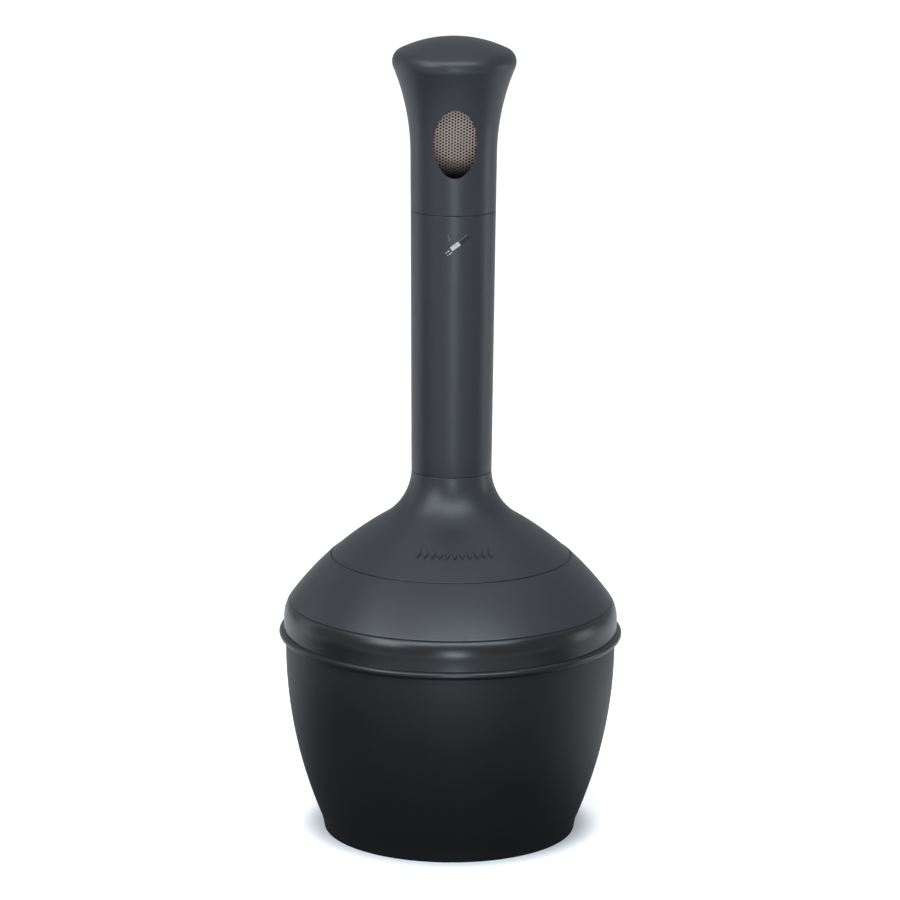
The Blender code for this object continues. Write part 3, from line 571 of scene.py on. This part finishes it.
heights = [SCREEN_BOTTOM + (SCREEN_TOP - SCREEN_BOTTOM) * i / 40 for i in range(41)]
right_edge = [(screen_half_width(z), -screen_depth(z), z) for z in heights]
left_edge = [(-x, y, z) for x, y, z in reversed(right_edge)]
plate_mesh = bmesh.new()
plate_face = plate_mesh.faces.new([plate_mesh.verts.new(corner) for corner in right_edge + left_edge])
grown = bmesh.ops.extrude_face_region(plate_mesh, geom=[plate_face], use_keep_orig=True)
back = [item for item in grown["geom"] if isinstance(item, bmesh.types.BMVert)]
bmesh.ops.translate(plate_mesh, vec=-SCREEN_WAY * SCREEN_SHEET, verts=back)
bmesh.ops.recalc_face_normals(plate_mesh, faces=plate_mesh.faces)

punch_mesh = bmesh.new()
column_step = HOLE_PITCH * sqrt(3) / 2
mid = Vector((0, -screen_depth((SCREEN_TOP + SCREEN_BOTTOM) / 2), (SCREEN_TOP + SCREEN_BOTTOM) / 2))
lean = Matrix.Rotation(pi / 2 + SCREEN_TILT, 4, "X")
for column in range(-HOLE_COLUMNS, HOLE_COLUMNS + 1):
    for row in range(-HOLE_ROWS, HOLE_ROWS + 1):
        x = column * column_step
        up = (row + (0.5 if column % 2 else 0)) * HOLE_PITCH
        centre = mid + Vector((x, 0, 0)) + SCREEN_UP * up
        inside = SCREEN_BOTTOM + SCREEN_MARGIN < centre.z < SCREEN_TOP - SCREEN_MARGIN
        if inside and abs(x) < screen_half_width(centre.z) - SCREEN_MARGIN:
            place = Matrix.Translation(centre) @ lean
            bmesh.ops.create_cone(punch_mesh, cap_ends=True, segments=12, radius1=HOLE_DIAMETER / 2,
                                  radius2=HOLE_DIAMETER / 2, depth=4 * SCREEN_SHEET, matrix=place)

# Mill-finish 304 stainless: a warm light grey metal, rolled lengthways so that highlights smear up the
# plate, with a patchy brown-grey haze from smoke, and painted shade that darkens it towards its foot.
stainless, tree, shader = new_material("mill_finish_stainless")
where = add(tree, "ShaderNodeTexCoord").outputs["Object"]
haze = add(tree, "ShaderNodeTexNoise", [(where, "Vector")], Scale=60.0, Detail=5.0)
height = add(tree, "ShaderNodeSeparateXYZ", [(where, 0)]).outputs["Z"]
# Painted shade: the plate runs from clean steel to a dark brown-grey towards its foot, for the shadow of the
# mouth's lower wall.
above_painted_shade = ranged(tree, height, [SCREEN_BOTTOM + run for run in PAINTED_SHADE_RUN])
clean = mixed(tree, haze.outputs["Fac"], "#b9a89b", "#d2c0b2")
tree.links.new(mixed(tree, above_painted_shade, "#1f1d1a", clean), shader.inputs["Base Color"])
shader.inputs["Metallic"].default_value = 0.6
shader.inputs["Roughness"].default_value = 0.42
rolled = add(tree, "ShaderNodeMapping", [(where, "Vector")])
rolled.inputs["Scale"].default_value = (2500, 2500, 90)
lines = add(tree, "ShaderNodeTexNoise", [(rolled.outputs[0], "Vector")], Scale=1.0, Detail=2.0)
bumped(tree, shader, lines.outputs["Fac"], 0.15, 0.0001)

screen = finished("snuff_screen_perforated", plate_mesh, stainless)
carve(screen, finished("punch_tool", punch_mesh, stainless))
screen.data.set_sharp_from_angle(angle=radians(40))
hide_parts("snuff_screen")
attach(screen, "cover")


# ---------------------------------------------------------------- screws
# Six zinc-plated pan-head self-tapping screws with a cross recess. Two hold each seam of the neck on its
# rear half, sunk a little in the plastic, and two go through the screen's edge into bosses in the head.

SCREW_SHANK = 0.0018
SCREW_ROOT = 0.0014
SCREW_TIP = 0.0007
SCREW_HEAD = 0.0035
SCREW_HEAD_DEPTH = 0.0022
SCREW_EDGE = 0.0007
SCREW_SPREAD = radians(50)
SCREW_SINK = 0.0015
THREAD_PITCH = 0.0012
RECESS_WIDTH = 0.0007
RECESS_LENGTH = 0.0034
RECESS_DEPTH = 0.0014
NECK_SCREW_DROP = 0.012
HEAD_SCREW_RISE = 0.0155
BOSS_HEIGHT = 0.832
BOSS_EDGE = 0.0064
BOSS_SIZE = 0.014
BOSS_DEPTH = 0.012
SCREEN_SCREW_LENGTH = 0.0085

# Bright zinc plate over steel: a cool silver with a trace of yellow passivation, and fine handling marks.
zinc, tree, shader = new_material("bright_zinc_plate")
where = add(tree, "ShaderNodeTexCoord").outputs["Object"]
bloom = add(tree, "ShaderNodeTexNoise", [(where, "Vector")], Scale=350.0, Detail=4.0)
tint = mixed(tree, bloom.outputs["Fac"], "#a9a58f", "#c6c9cc")
tree.links.new(tint, shader.inputs["Base Color"])
worn = ranged(tree, bloom.outputs["Fac"], to=(0.24, 0.40), way="LINEAR")
tree.links.new(worn, shader.inputs["Roughness"])
shader.inputs["Metallic"].default_value = 1.0
marks = add(tree, "ShaderNodeTexNoise", [(where, "Vector")], Scale=2500.0, Detail=2.0)
bumped(tree, shader, marks.outputs["Fac"], 0.15, 0.0001)


def aim(point, way):
    """Matrix that stands a piece's own +Z along way at point."""
    return Matrix.Translation(point) @ Vector(way).to_track_quat("Z", "Y").to_matrix().to_4x4()


def cutting_box(name, size, place, material):
    """A box tool of a given size about a place."""
    box_mesh = bmesh.new()
    bmesh.ops.create_cube(box_mesh, size=1.0, matrix=place @ Matrix.Diagonal((*size, 1)))
    return finished(name, box_mesh, material)


def screw(name, seat, way, length):
    """A threaded screw whose head's underside lies at seat; its thread is a row of turned crests."""
    crests = int((length - 3 * THREAD_PITCH) / THREAD_PITCH)
    thread = []
    for i in range(crests):
        z = -length + 2 * THREAD_PITCH + i * THREAD_PITCH
        thread += [(SCREW_ROOT, z), (SCREW_SHANK, z + THREAD_PITCH / 2)]
    dome = [(SCREW_HEAD * cos(a), SCREW_EDGE + (SCREW_HEAD_DEPTH - SCREW_EDGE) * sin(a))
            for a in (radians(15 * i) for i in range(6))]
    neck_run = [(SCREW_ROOT, -THREAD_PITCH / 2), (SCREW_SHANK, -THREAD_PITCH / 4), (SCREW_SHANK, 0),
                (SCREW_HEAD, 0)]
    outline = [(0, -length), (SCREW_TIP, -length)] + thread + neck_run + dome + [(0, SCREW_HEAD_DEPTH)]
    made = finished(name, turned_mesh(outline, 24), zinc)
    for turn in (0, pi / 2):
        middle = Matrix.Translation((0, 0, SCREW_HEAD_DEPTH)) @ Matrix.Rotation(turn + pi / 4, 4, "Z")
        size = (RECESS_LENGTH, RECESS_WIDTH, 2 * RECESS_DEPTH)
        carve(made, cutting_box("recess_tool", size, middle, zinc))
    made.data.transform(aim(Vector(seat) + Vector(way) * GAP, way))
    made.data.set_sharp_from_angle(angle=radians(40))
    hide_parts(name.replace("_pan_head", ""))
    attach(made, "cover")


def drill(shell, seat, way, depth):
    """Sinks a counterbore for a screw's head and a clear hole for its shank into a shell."""
    bore = SCREW_HEAD + 2 * GAP
    hole = SCREW_SHANK + GAP
    outline = [(0, -depth), (hole, -depth), (hole, 0), (bore, 0), (bore, BOSS_SIZE), (0, BOSS_SIZE)]
    tool = finished("drill_tool", turned_mesh(outline, 32), cover_plastic)
    tool.data.transform(aim(seat, way))
    carve(shell, tool)
    shell.data.set_sharp_from_angle(angle=radians(40))


collar_height = NECK_FOOT - NECK_SCREW_DROP
socket_height = HEAD_FOOT + HEAD_SCREW_RISE
collar_radius = fillet.x - sqrt(fillet_round ** 2 - (fillet.y - collar_height) ** 2)
screw_x = screen_half_width(BOSS_HEIGHT) - BOSS_EDGE
seams = (("neck", cover, collar_radius - SCREW_SINK - GAP, spigot_foot - SPIGOT_WALL, collar_height),
         ("head", head, head_radius(socket_height) - SCREW_SINK, spigot_top - SPIGOT_WALL, socket_height))
for side, hand in ((-1, "left"), (1, "right")):
    way = Vector((side * sin(SCREW_SPREAD), cos(SCREW_SPREAD), 0))
    for seam, shell, seat_radius, inside, height in seams:
        seat = way * seat_radius + Vector((0, 0, height))
        drill(shell, seat, way, seat_radius - inside + SPIGOT_WALL)
        drill(neck, seat, way, seat_radius - inside + SPIGOT_WALL)
        screw(f"{seam}_screw_{hand}_pan_head", seat, way, seat_radius - inside)

    # The boss behind the screen's edge, a tilted block grown out of the head's wall, with a pilot hole.
    seat = Vector((side * screw_x, -screen_depth(BOSS_HEIGHT), BOSS_HEIGHT))
    reach = FLARE_FOOT_RADIUS - screw_x + BOSS_SIZE / 2
    face = Matrix.Translation(seat - SCREEN_WAY * (SCREEN_SHEET + GAP)) @ lean
    middle = face @ Matrix.Translation((side * (reach - BOSS_SIZE) / 2, 0, -BOSS_DEPTH / 2))
    boss = cutting_box("boss", (reach, BOSS_SIZE, BOSS_DEPTH), middle, cover_plastic)
    wall = head_radius(BOSS_HEIGHT) - COVER_WALL / 2
    limit_outline = [(0, HEAD_FOOT), (wall, HEAD_FOOT), (wall, SCREEN_TOP), (0, SCREEN_TOP)]
    carve(boss, finished("boss_limit", turned_mesh(limit_outline, 96), cover_plastic), "INTERSECT")
    carve(head, boss, "UNION")
    pilot_outline = [(0, -SCREEN_SCREW_LENGTH - GAP), (SCREW_SHANK + GAP, -SCREEN_SCREW_LENGTH - GAP),
                     (SCREW_SHANK + GAP, SCREEN_SHEET), (0, SCREEN_SHEET)]
    for host in (head, screen):
        pilot = finished("pilot_tool", turned_mesh(pilot_outline, 24), cover_plastic)
        pilot.data.transform(aim(seat, SCREEN_WAY))
        carve(host, pilot)
        host.data.set_sharp_from_angle(angle=radians(40))
    screw(f"screen_screw_{hand}_pan_head", seat, SCREEN_WAY, SCREEN_SCREW_LENGTH)


# ---------------------------------------------------------------- moulded marks
# Marks in the plastic of the cover itself: a row of small plain lozenges that stand up across the front of
# the dome, and a tick sunk in just above the shoulder line that shows where the front is.

MARK_COUNT = 11
MARK_PITCH = 0.0088
MARK_WIDTH = 0.0066
MARK_HEIGHT = 0.0155
MARK_RISE = 0.0016
MARK_PLACE = 0.3715
TICK_OFFSET = 0.011
TICK_SIZE = (0.0012, 0.0060, 0.0016)
TICK_PLACE = 0.2925


def dome_spot(z):
    """Radius of the dome at a height, and how far its outward normal rises above level."""
    rise = asin((z - dome.y) / dome_round)
    return dome.x + dome_round * cos(rise), rise


mark_radius, mark_slope = dome_spot(MARK_PLACE)
marks_mesh = bmesh.new()
for i in range(MARK_COUNT):
    turn = (i - (MARK_COUNT - 1) / 2) * MARK_PITCH / mark_radius
    out = Vector((sin(turn) * cos(mark_slope), -cos(turn) * cos(mark_slope), sin(mark_slope)))
    spot = Vector((sin(turn) * mark_radius, -cos(turn) * mark_radius, MARK_PLACE))
    stand = Matrix.Translation(spot) @ out.to_track_quat("Z", "Y").to_matrix().to_4x4()
    shape = Matrix.Diagonal((MARK_WIDTH / 2, MARK_HEIGHT / 2, 1, 1))
    bmesh.ops.create_cone(marks_mesh, cap_ends=True, segments=4, radius1=1.1, radius2=0.9,
                          depth=2 * MARK_RISE, matrix=stand @ shape)
carve(cover, finished("marks_tool", marks_mesh, cover_plastic), "UNION")
tick_radius, tick_slope = dome_spot(TICK_PLACE)
turn = TICK_OFFSET / tick_radius
out = Vector((sin(turn) * cos(tick_slope), -cos(turn) * cos(tick_slope), sin(tick_slope)))
spot = Vector((sin(turn) * tick_radius, -cos(turn) * tick_radius, TICK_PLACE))
stand = Matrix.Translation(spot) @ out.to_track_quat("Z", "Y").to_matrix().to_4x4()
carve(cover, cutting_box("tick_tool", TICK_SIZE, stand, cover_plastic))
cover.data.set_sharp_from_angle(angle=radians(30))


# ---------------------------------------------------------------- cigarette symbol
# A hot-stamped foil pictogram on the front of the neck: a slanted cigarette with a white paper length and
# a dark tip, a thin curl of smoke and a few crumbs of ash, each a film a fifth of a millimetre thick.

SYMBOL_MIDDLE = (0.0047, 0.7375)
SYMBOL_TILT = radians(36)
SYMBOL_WIDTH = 0.0054
PAPER_RUN = (-0.0112, 0.0010)
TIP_RUN = (0.0014, 0.0152)
EDGE_WIDTH = 0.0008
SMOKE_START = (-0.0118, 0.0030)
SMOKE_RISE = 0.0095
SMOKE_WIDTH = 0.0012
SMOKE_SWAY = 0.0012
ASH_SPOTS = ((-0.0124, -0.0090, 0.0020), (-0.0106, -0.0122, 0.0017), (-0.0150, -0.0112, 0.0015),
             (-0.0086, -0.0106, 0.0014), (-0.0132, -0.0138, 0.0013))
FILM = 0.0002
FILM_LIFT = 0.00005


def thickened(sheet, thickness, way):
    """Turns a sheet's faces towards way and gives it a thickness on that side."""
    bmesh.ops.recalc_face_normals(sheet, faces=sheet.faces)
    if sheet.faces[:][0].normal.dot(Vector(way)) < 0:
        bmesh.ops.reverse_faces(sheet, faces=sheet.faces)
    bmesh.ops.solidify(sheet, geom=sheet.faces[:], thickness=-thickness)
    bmesh.ops.recalc_face_normals(sheet, faces=sheet.faces)
    return sheet


def film(name, steps, shape, material):
    """A thin film on the neck; shape turns (along, across), both from 0 to 1, into (sideways, height)."""
    sheet = bmesh.new()
    bmesh.ops.create_grid(sheet, x_segments=steps[0], y_segments=steps[1], size=0.5)
    for vert in sheet.verts:
        sideways, z = shape(vert.co.x + 0.5, vert.co.y + 0.5)
        radius = neck_radius(z) + FILM_LIFT
        vert.co = (radius * sin(sideways / radius), -radius * cos(sideways / radius), z)
    made = finished(name, thickened(sheet, FILM, (0, -1, 0)), material)
    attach(made, "cover")
    return made


def slanted(run, low, high):
    """A straight stripe of the cigarette: run is its start and end along it, low and high its edges."""
    def shape(along, across):
        s = run[0] + (run[1] - run[0]) * along
        t = low + (high - low) * across
        return (SYMBOL_MIDDLE[0] + s * cos(SYMBOL_TILT) - t * sin(SYMBOL_TILT),
                SYMBOL_MIDDLE[1] + s * sin(SYMBOL_TILT) + t * cos(SYMBOL_TILT))
    return shape


def smoke_curl(along, across):
    width = SMOKE_WIDTH * (1 - 0.7 * along)
    sway = SMOKE_SWAY * sin(2 * pi * along)
    return (SYMBOL_MIDDLE[0] + SMOKE_START[0] + sway + width * (across - 0.5),
            SYMBOL_MIDDLE[1] + SMOKE_START[1] + SMOKE_RISE * along)


def crumb(sideways, above, size):
    """A crumb of ash, a leaning square narrowed to one side, placed from the symbol's middle."""
    def shape(along, across):
        return (SYMBOL_MIDDLE[0] + sideways + size * (along - 0.5 + 0.3 * across),
                SYMBOL_MIDDLE[1] + above + size * (across - 0.5) * (1 - 0.4 * along))
    return shape


# Hot-stamping foils with a satin finish, each rubbed thin in places: a greyish white for the paper and the
# ash, black for the tip, and grey for the tip's upper edge and the smoke.
foils = {}
for colour, thin, full, roughness in (("white", "#8e8f92", "#cdcdcf", 0.45),
                                      ("black", "#0c0f10", "#171b1d", 0.42),
                                      ("grey", "#505255", "#77797c", 0.45)):
    foils[colour], tree, shader = new_material(f"{colour}_hot_stamp_foil")
    where = add(tree, "ShaderNodeTexCoord").outputs["Object"]
    rubbed = add(tree, "ShaderNodeTexNoise", [(where, "Vector")], Scale=420.0, Detail=3.0)
    tree.links.new(mixed(tree, rubbed.outputs["Fac"], thin, full), shader.inputs["Base Color"])
    shader.inputs["Roughness"].default_value = roughness

half = SYMBOL_WIDTH / 2
paper_film = film("symbol_paper", (16, 6), slanted(PAPER_RUN, -half, half), foils["white"])
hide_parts("cigarette_symbol")
film("symbol_tip", (16, 6), slanted(TIP_RUN, -half, half - EDGE_WIDTH), foils["black"])
film("symbol_tip_edge", (16, 2), slanted(TIP_RUN, half - EDGE_WIDTH, half), foils["grey"])
film("symbol_smoke", (24, 2), smoke_curl, foils["grey"])
for number, spot in enumerate(ASH_SPOTS, 1):
    film(f"symbol_ash_{number}", (3, 3), crumb(*spot), foils["white"])


# ---------------------------------------------------------------- pail body and bottom
# The galvanised pail that stands on the tub's floor: a tapered wall rolled from 0.8 mm hot-dip galvanised
# sheet, with a lapped side seam, two swaged rings, a rim rolled round a wire, and a loose-laid bottom
# disc that is held down in the hem at its foot.

PAIL_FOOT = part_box("pail_body")[0][2]
PAIL_RIM = 0.2423
PAIL_RIM_RADIUS = 0.1435
PAIL_FOOT_RADIUS = 0.108
PAIL_SHEET = 0.0008
PAIL_BEAD = 0.003
PAIL_HEM_WIDTH = 0.003
PAIL_HEM_HEIGHT = 0.006
RING_SHARES = (0.30, 0.62)
RING_RISE = 0.0014
RING_WIDTH = 0.0028
SEAM_WIDTH = 0.009
SEAM_RISE = 0.0009
DISH_RADIUS = 0.078
DISH_RISE = 0.0014


def pail_radius(z):
    share = (z - PAIL_FOOT) / (PAIL_RIM - PAIL_FOOT)
    return PAIL_FOOT_RADIUS + (PAIL_RIM_RADIUS - PAIL_FOOT_RADIUS) * share


def ringed_radius(z):
    """The wall's outer radius with its swaged rings, which bulge outwards in a soft half-round."""
    rings = [PAIL_FOOT + (PAIL_RIM - PAIL_FOOT) * share for share in RING_SHARES]
    return pail_radius(z) + sum(RING_RISE * exp(-((z - ring) / RING_WIDTH) ** 2) for ring in rings)


# Hot-dip galvanised steel: a dull zinc grey broken into angular crystals about 9 mm across, each with its
# own tone and gloss, over the faint ripple of the drained zinc.
galvanised, tree, shader = new_material("hot_dip_galvanised_sheet")
where = add(tree, "ShaderNodeTexCoord").outputs["Object"]
ripple = add(tree, "ShaderNodeTexNoise", [(where, "Vector")], Scale=70.0, Detail=3.0)
bent = add(tree, "ShaderNodeVectorMath", [(ripple.outputs["Color"], 0), (where, 2)], operation="MULTIPLY_ADD")
bent.inputs[1].default_value = (0.006, 0.006, 0.006)
spangle = add(tree, "ShaderNodeTexVoronoi", [(bent.outputs[0], "Vector")], Scale=110.0)
tone = add(tree, "ShaderNodeSeparateColor", [(spangle.outputs["Color"], 0)])
tint = mixed(tree, tone.outputs[0], "#8b9194", "#bcc2c4")
tree.links.new(tint, shader.inputs["Base Color"])
sheen = ranged(tree, tone.outputs[1], to=(0.30, 0.52), way="LINEAR")
tree.links.new(sheen, shader.inputs["Roughness"])
shader.inputs["Metallic"].default_value = 1.0
bumped(tree, shader, ripple.outputs["Fac"], 0.10, 0.001)

hem_inner = PAIL_FOOT_RADIUS - PAIL_HEM_WIDTH
hem_top = PAIL_FOOT + PAIL_HEM_HEIGHT
wall_top = PAIL_RIM - PAIL_BEAD - GAP
wall_heights = [hem_top + (wall_top - hem_top) * i / 90 for i in range(91)]
rim_roll = arc((PAIL_RIM_RADIUS + PAIL_BEAD / 2, PAIL_RIM), PAIL_BEAD, -pi / 2, radians(190), 16)
wall_outside = [(ringed_radius(z), z) for z in wall_heights]
wall_inside = [(r - PAIL_SHEET, z) for r, z in reversed(wall_outside)]
hem_foot = [(hem_inner, PAIL_FOOT), (PAIL_FOOT_RADIUS, PAIL_FOOT)]
pail_outline = hem_foot + wall_outside + rim_roll + wall_inside + [(hem_inner, hem_top)]
pail = finished("pail_body_sheet", turned_mesh(softened(pail_outline, 0.0008, radians(50)), 144), galvanised)
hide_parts("pail_body")
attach(pail, "pail")

# The lapped side seam stands at the back of the wall and follows its rings.
seam_mesh = bmesh.new()
bmesh.ops.create_grid(seam_mesh, x_segments=4, y_segments=80, size=0.5)
for vert in seam_mesh.verts:
    z = hem_top + (wall_top - hem_top) * (vert.co.y + 0.5)
    radius = ringed_radius(z) + SEAM_RISE / 4
    turn = vert.co.x * SEAM_WIDTH / radius
    vert.co = (radius * sin(turn), radius * cos(turn), z)
seam_strip = finished("pail_side_seam", thickened(seam_mesh, SEAM_RISE, (0, 1, 0)), galvanised)
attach(seam_strip, "pail")

# The bottom disc has a shallow dish pressed up in its middle, and its rim lies on the hem.
disc_foot = hem_top + GAP
disc_edge = pail_radius(hem_top) - PAIL_SHEET - GAP
dish_bend = [(DISH_RADIUS + 2 * DISH_RISE * i, disc_foot + DISH_RISE * (1 + cos(pi * i / 8)) / 2)
             for i in range(9)]
under = [(0, disc_foot + DISH_RISE)] + dish_bend + [(disc_edge, disc_foot)]
over = [(r, z + PAIL_SHEET) for r, z in reversed(under)]
bottom = finished("pail_bottom_disc", turned_mesh(softened(under + over, 0.0004), 144), galvanised)
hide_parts("pail_bottom")
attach(bottom, "pail")


# ---------------------------------------------------------------- pail ears and rivets
# Two ears pressed from 1.5 mm galvanised sheet, bent to the pail's wall with rounded corners, each with a
# drawn eye for the bail; two domed steel rivets through the wall hold each ear.

EAR_SHEET = 0.0015
EAR_HEIGHT = 0.040
EAR_CORNER = 0.008
EAR_TURN = radians(9)
EYE_RADIUS = 0.0055
EYE_LENGTH = 0.0065
EYE_EDGE = 0.0007
BAIL_WIRE = 0.0025
PIVOT_HEIGHT = PAIL_RIM - 0.020
RIVET_HEIGHT = PIVOT_HEIGHT - 0.020
RIVET_SHANK = 0.0020
RIVET_HEAD = 0.0035
RIVET_TAIL = 0.0028
RIVET_HEAD_DEPTH = 0.0012
EAR_LOW = RIVET_HEIGHT - 2 * RIVET_HEAD

slope = (PAIL_RIM_RADIUS - PAIL_FOOT_RADIUS) / (PAIL_RIM - PAIL_FOOT)
for side, hand in ((-1, "left"), (1, "right")):
    facing = 0 if side > 0 else pi
    ear_width = 2 * EAR_TURN * pail_radius(PIVOT_HEIGHT)
    sheet = bmesh.new()
    bmesh.ops.create_grid(sheet, x_segments=24, y_segments=20, size=0.5)
    bmesh.ops.scale(sheet, vec=(ear_width, EAR_HEIGHT, 1), verts=sheet.verts)
    for across, up in ((-1, -1), (-1, 1), (1, -1), (1, 1)):
        centre = Vector((across * (ear_width / 2 - EAR_CORNER), up * (EAR_HEIGHT / 2 - EAR_CORNER), 0))
        for i in range(5):
            lean = radians(9 + 18 * i)
            cut = Vector((across * cos(lean), up * sin(lean), 0))
            whole = sheet.verts[:] + sheet.edges[:] + sheet.faces[:]
            bmesh.ops.bisect_plane(sheet, geom=whole, dist=0.000001, plane_co=centre + cut * EAR_CORNER,
                                   plane_no=cut, clear_outer=True)
    for vert in sheet.verts:
        z = EAR_LOW + EAR_HEIGHT / 2 + vert.co.y
        radius = pail_radius(z) + GAP
        turn = facing + vert.co.x / pail_radius(PIVOT_HEIGHT)
        vert.co = (radius * cos(turn), radius * sin(turn), z)
    out = Vector((side, 0, 0))
    ear = finished(f"pail_ear_{hand}_pressed", thickened(sheet, EAR_SHEET, out), galvanised)

    root = pail_radius(PIVOT_HEIGHT) + GAP + EAR_SHEET / 2
    end = EYE_LENGTH + EAR_SHEET / 2
    bore = BAIL_WIRE + GAP
    bore_foot = EAR_SHEET / 2 + GAP
    eye_outline = [(0, 0), (EYE_RADIUS, 0), (EYE_RADIUS, end), (bore, end), (bore, bore_foot), (0, bore_foot)]
    eye = finished("eye_tool", turned_mesh(softened(eye_outline, EYE_EDGE), 40), galvanised)
    eye.data.transform(aim(out * root + Vector((0, 0, PIVOT_HEIGHT)), out))
    carve(ear, eye, "UNION")

    for number, turn in ((1, facing - EAR_TURN / 2), (2, facing + EAR_TURN / 2)):
        way = Vector((cos(turn), sin(turn), -slope)).normalized()
        face = pail_radius(RIVET_HEIGHT)
        wall = Vector((cos(turn) * face, sin(turn) * face, RIVET_HEIGHT))
        grip = GAP + EAR_SHEET * cos(atan2(slope, 1))
        tail = PAIL_SHEET + GAP
        hole_outline = [(0, -EAR_HEIGHT / 8), (RIVET_SHANK + GAP, -EAR_HEIGHT / 8),
                        (RIVET_SHANK + GAP, EAR_HEIGHT / 8), (0, EAR_HEIGHT / 8)]
        for host in (pail, ear):
            punch = finished("rivet_hole_tool", turned_mesh(hole_outline, 24), galvanised)
            punch.data.transform(aim(wall, way))
            carve(host, punch)
        crown = [(RIVET_HEAD * cos(radians(a)), grip + GAP + RIVET_HEAD_DEPTH * sin(radians(a)))
                 for a in range(0, 90, 15)]
        foot = [(RIVET_TAIL * cos(radians(a)), -tail - RIVET_HEAD_DEPTH * sin(radians(a)))
                for a in range(75, -1, -15)]
        shank = [(RIVET_SHANK, -tail), (RIVET_SHANK, grip + GAP)]
        rivet_outline = ([(0, -tail - RIVET_HEAD_DEPTH)] + foot + shank + crown
                         + [(0, grip + GAP + RIVET_HEAD_DEPTH)])
        rivet = finished(f"ear_rivet_{hand}_{number}_domed", turned_mesh(rivet_outline, 28), zinc)
        rivet.data.transform(aim(wall, way))
        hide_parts(f"ear_rivet_{hand}_{number}")
        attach(rivet, "pail")
    ear.data.set_sharp_from_angle(angle=radians(40))
    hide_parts(f"pail_ear_{hand}")
    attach(ear, "pail")
pail.data.set_sharp_from_angle(angle=radians(40))


# ---------------------------------------------------------------- pail bail
# The pail's handle, bent from 5 mm galvanised wire: a stub in each ear's eye, a tight bend, and a
# half-circle arch that lies down in front of the pail.

BAIL_BEND = 0.004
BAIL_LIE = radians(28)

ear_face = pail_radius(PIVOT_HEIGHT) + GAP + EAR_SHEET
reach = ear_face + EYE_LENGTH + GAP + BAIL_BEND
bend = arc((reach - BAIL_BEND, BAIL_BEND), BAIL_BEND, -pi / 2, 0, 8)
arch = arc((0, BAIL_BEND), reach, 0, pi, 72)[1:-1]
half_bail = [(ear_face + 2 * GAP, 0)] + bend
bail_line = half_bail + arch + [(-x, up) for x, up in reversed(half_bail)]
wire_curve = bpy.data.curves.new("bail_wire", "CURVE")
wire_curve.dimensions = "3D"
wire_curve.bevel_depth = BAIL_WIRE
wire_curve.bevel_resolution = 6
wire_curve.use_fill_caps = True
wire = wire_curve.splines.new("POLY")
wire.points.add(len(bail_line) - 1)
lie = Matrix.Translation((0, 0, PIVOT_HEIGHT)) @ Matrix.Rotation(pi / 2 + BAIL_LIE, 4, "X")
for point, (x, up) in zip(wire.points, bail_line):
    point.co = (*(lie @ Vector((x, 0, up))), 1)
bail = bpy.data.objects.new("pail_bail_wire", wire_curve)
bpy.context.scene.collection.objects.link(bail)
bpy.context.view_layer.update()
bail_mesh = bpy.data.meshes.new_from_object(bail.evaluated_get(bpy.context.evaluated_depsgraph_get()))
bpy.data.objects.remove(bail, do_unlink=True)
bail_bm = bmesh.new()
bail_bm.from_mesh(bail_mesh)
bmesh.ops.remove_doubles(bail_bm, verts=bail_bm.verts, dist=0.000001)
bmesh.ops.recalc_face_normals(bail_bm, faces=bail_bm.faces)
bail = finished("pail_bail_wire", bail_bm, zinc)
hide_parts("pail_bail")
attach(bail, "bail")
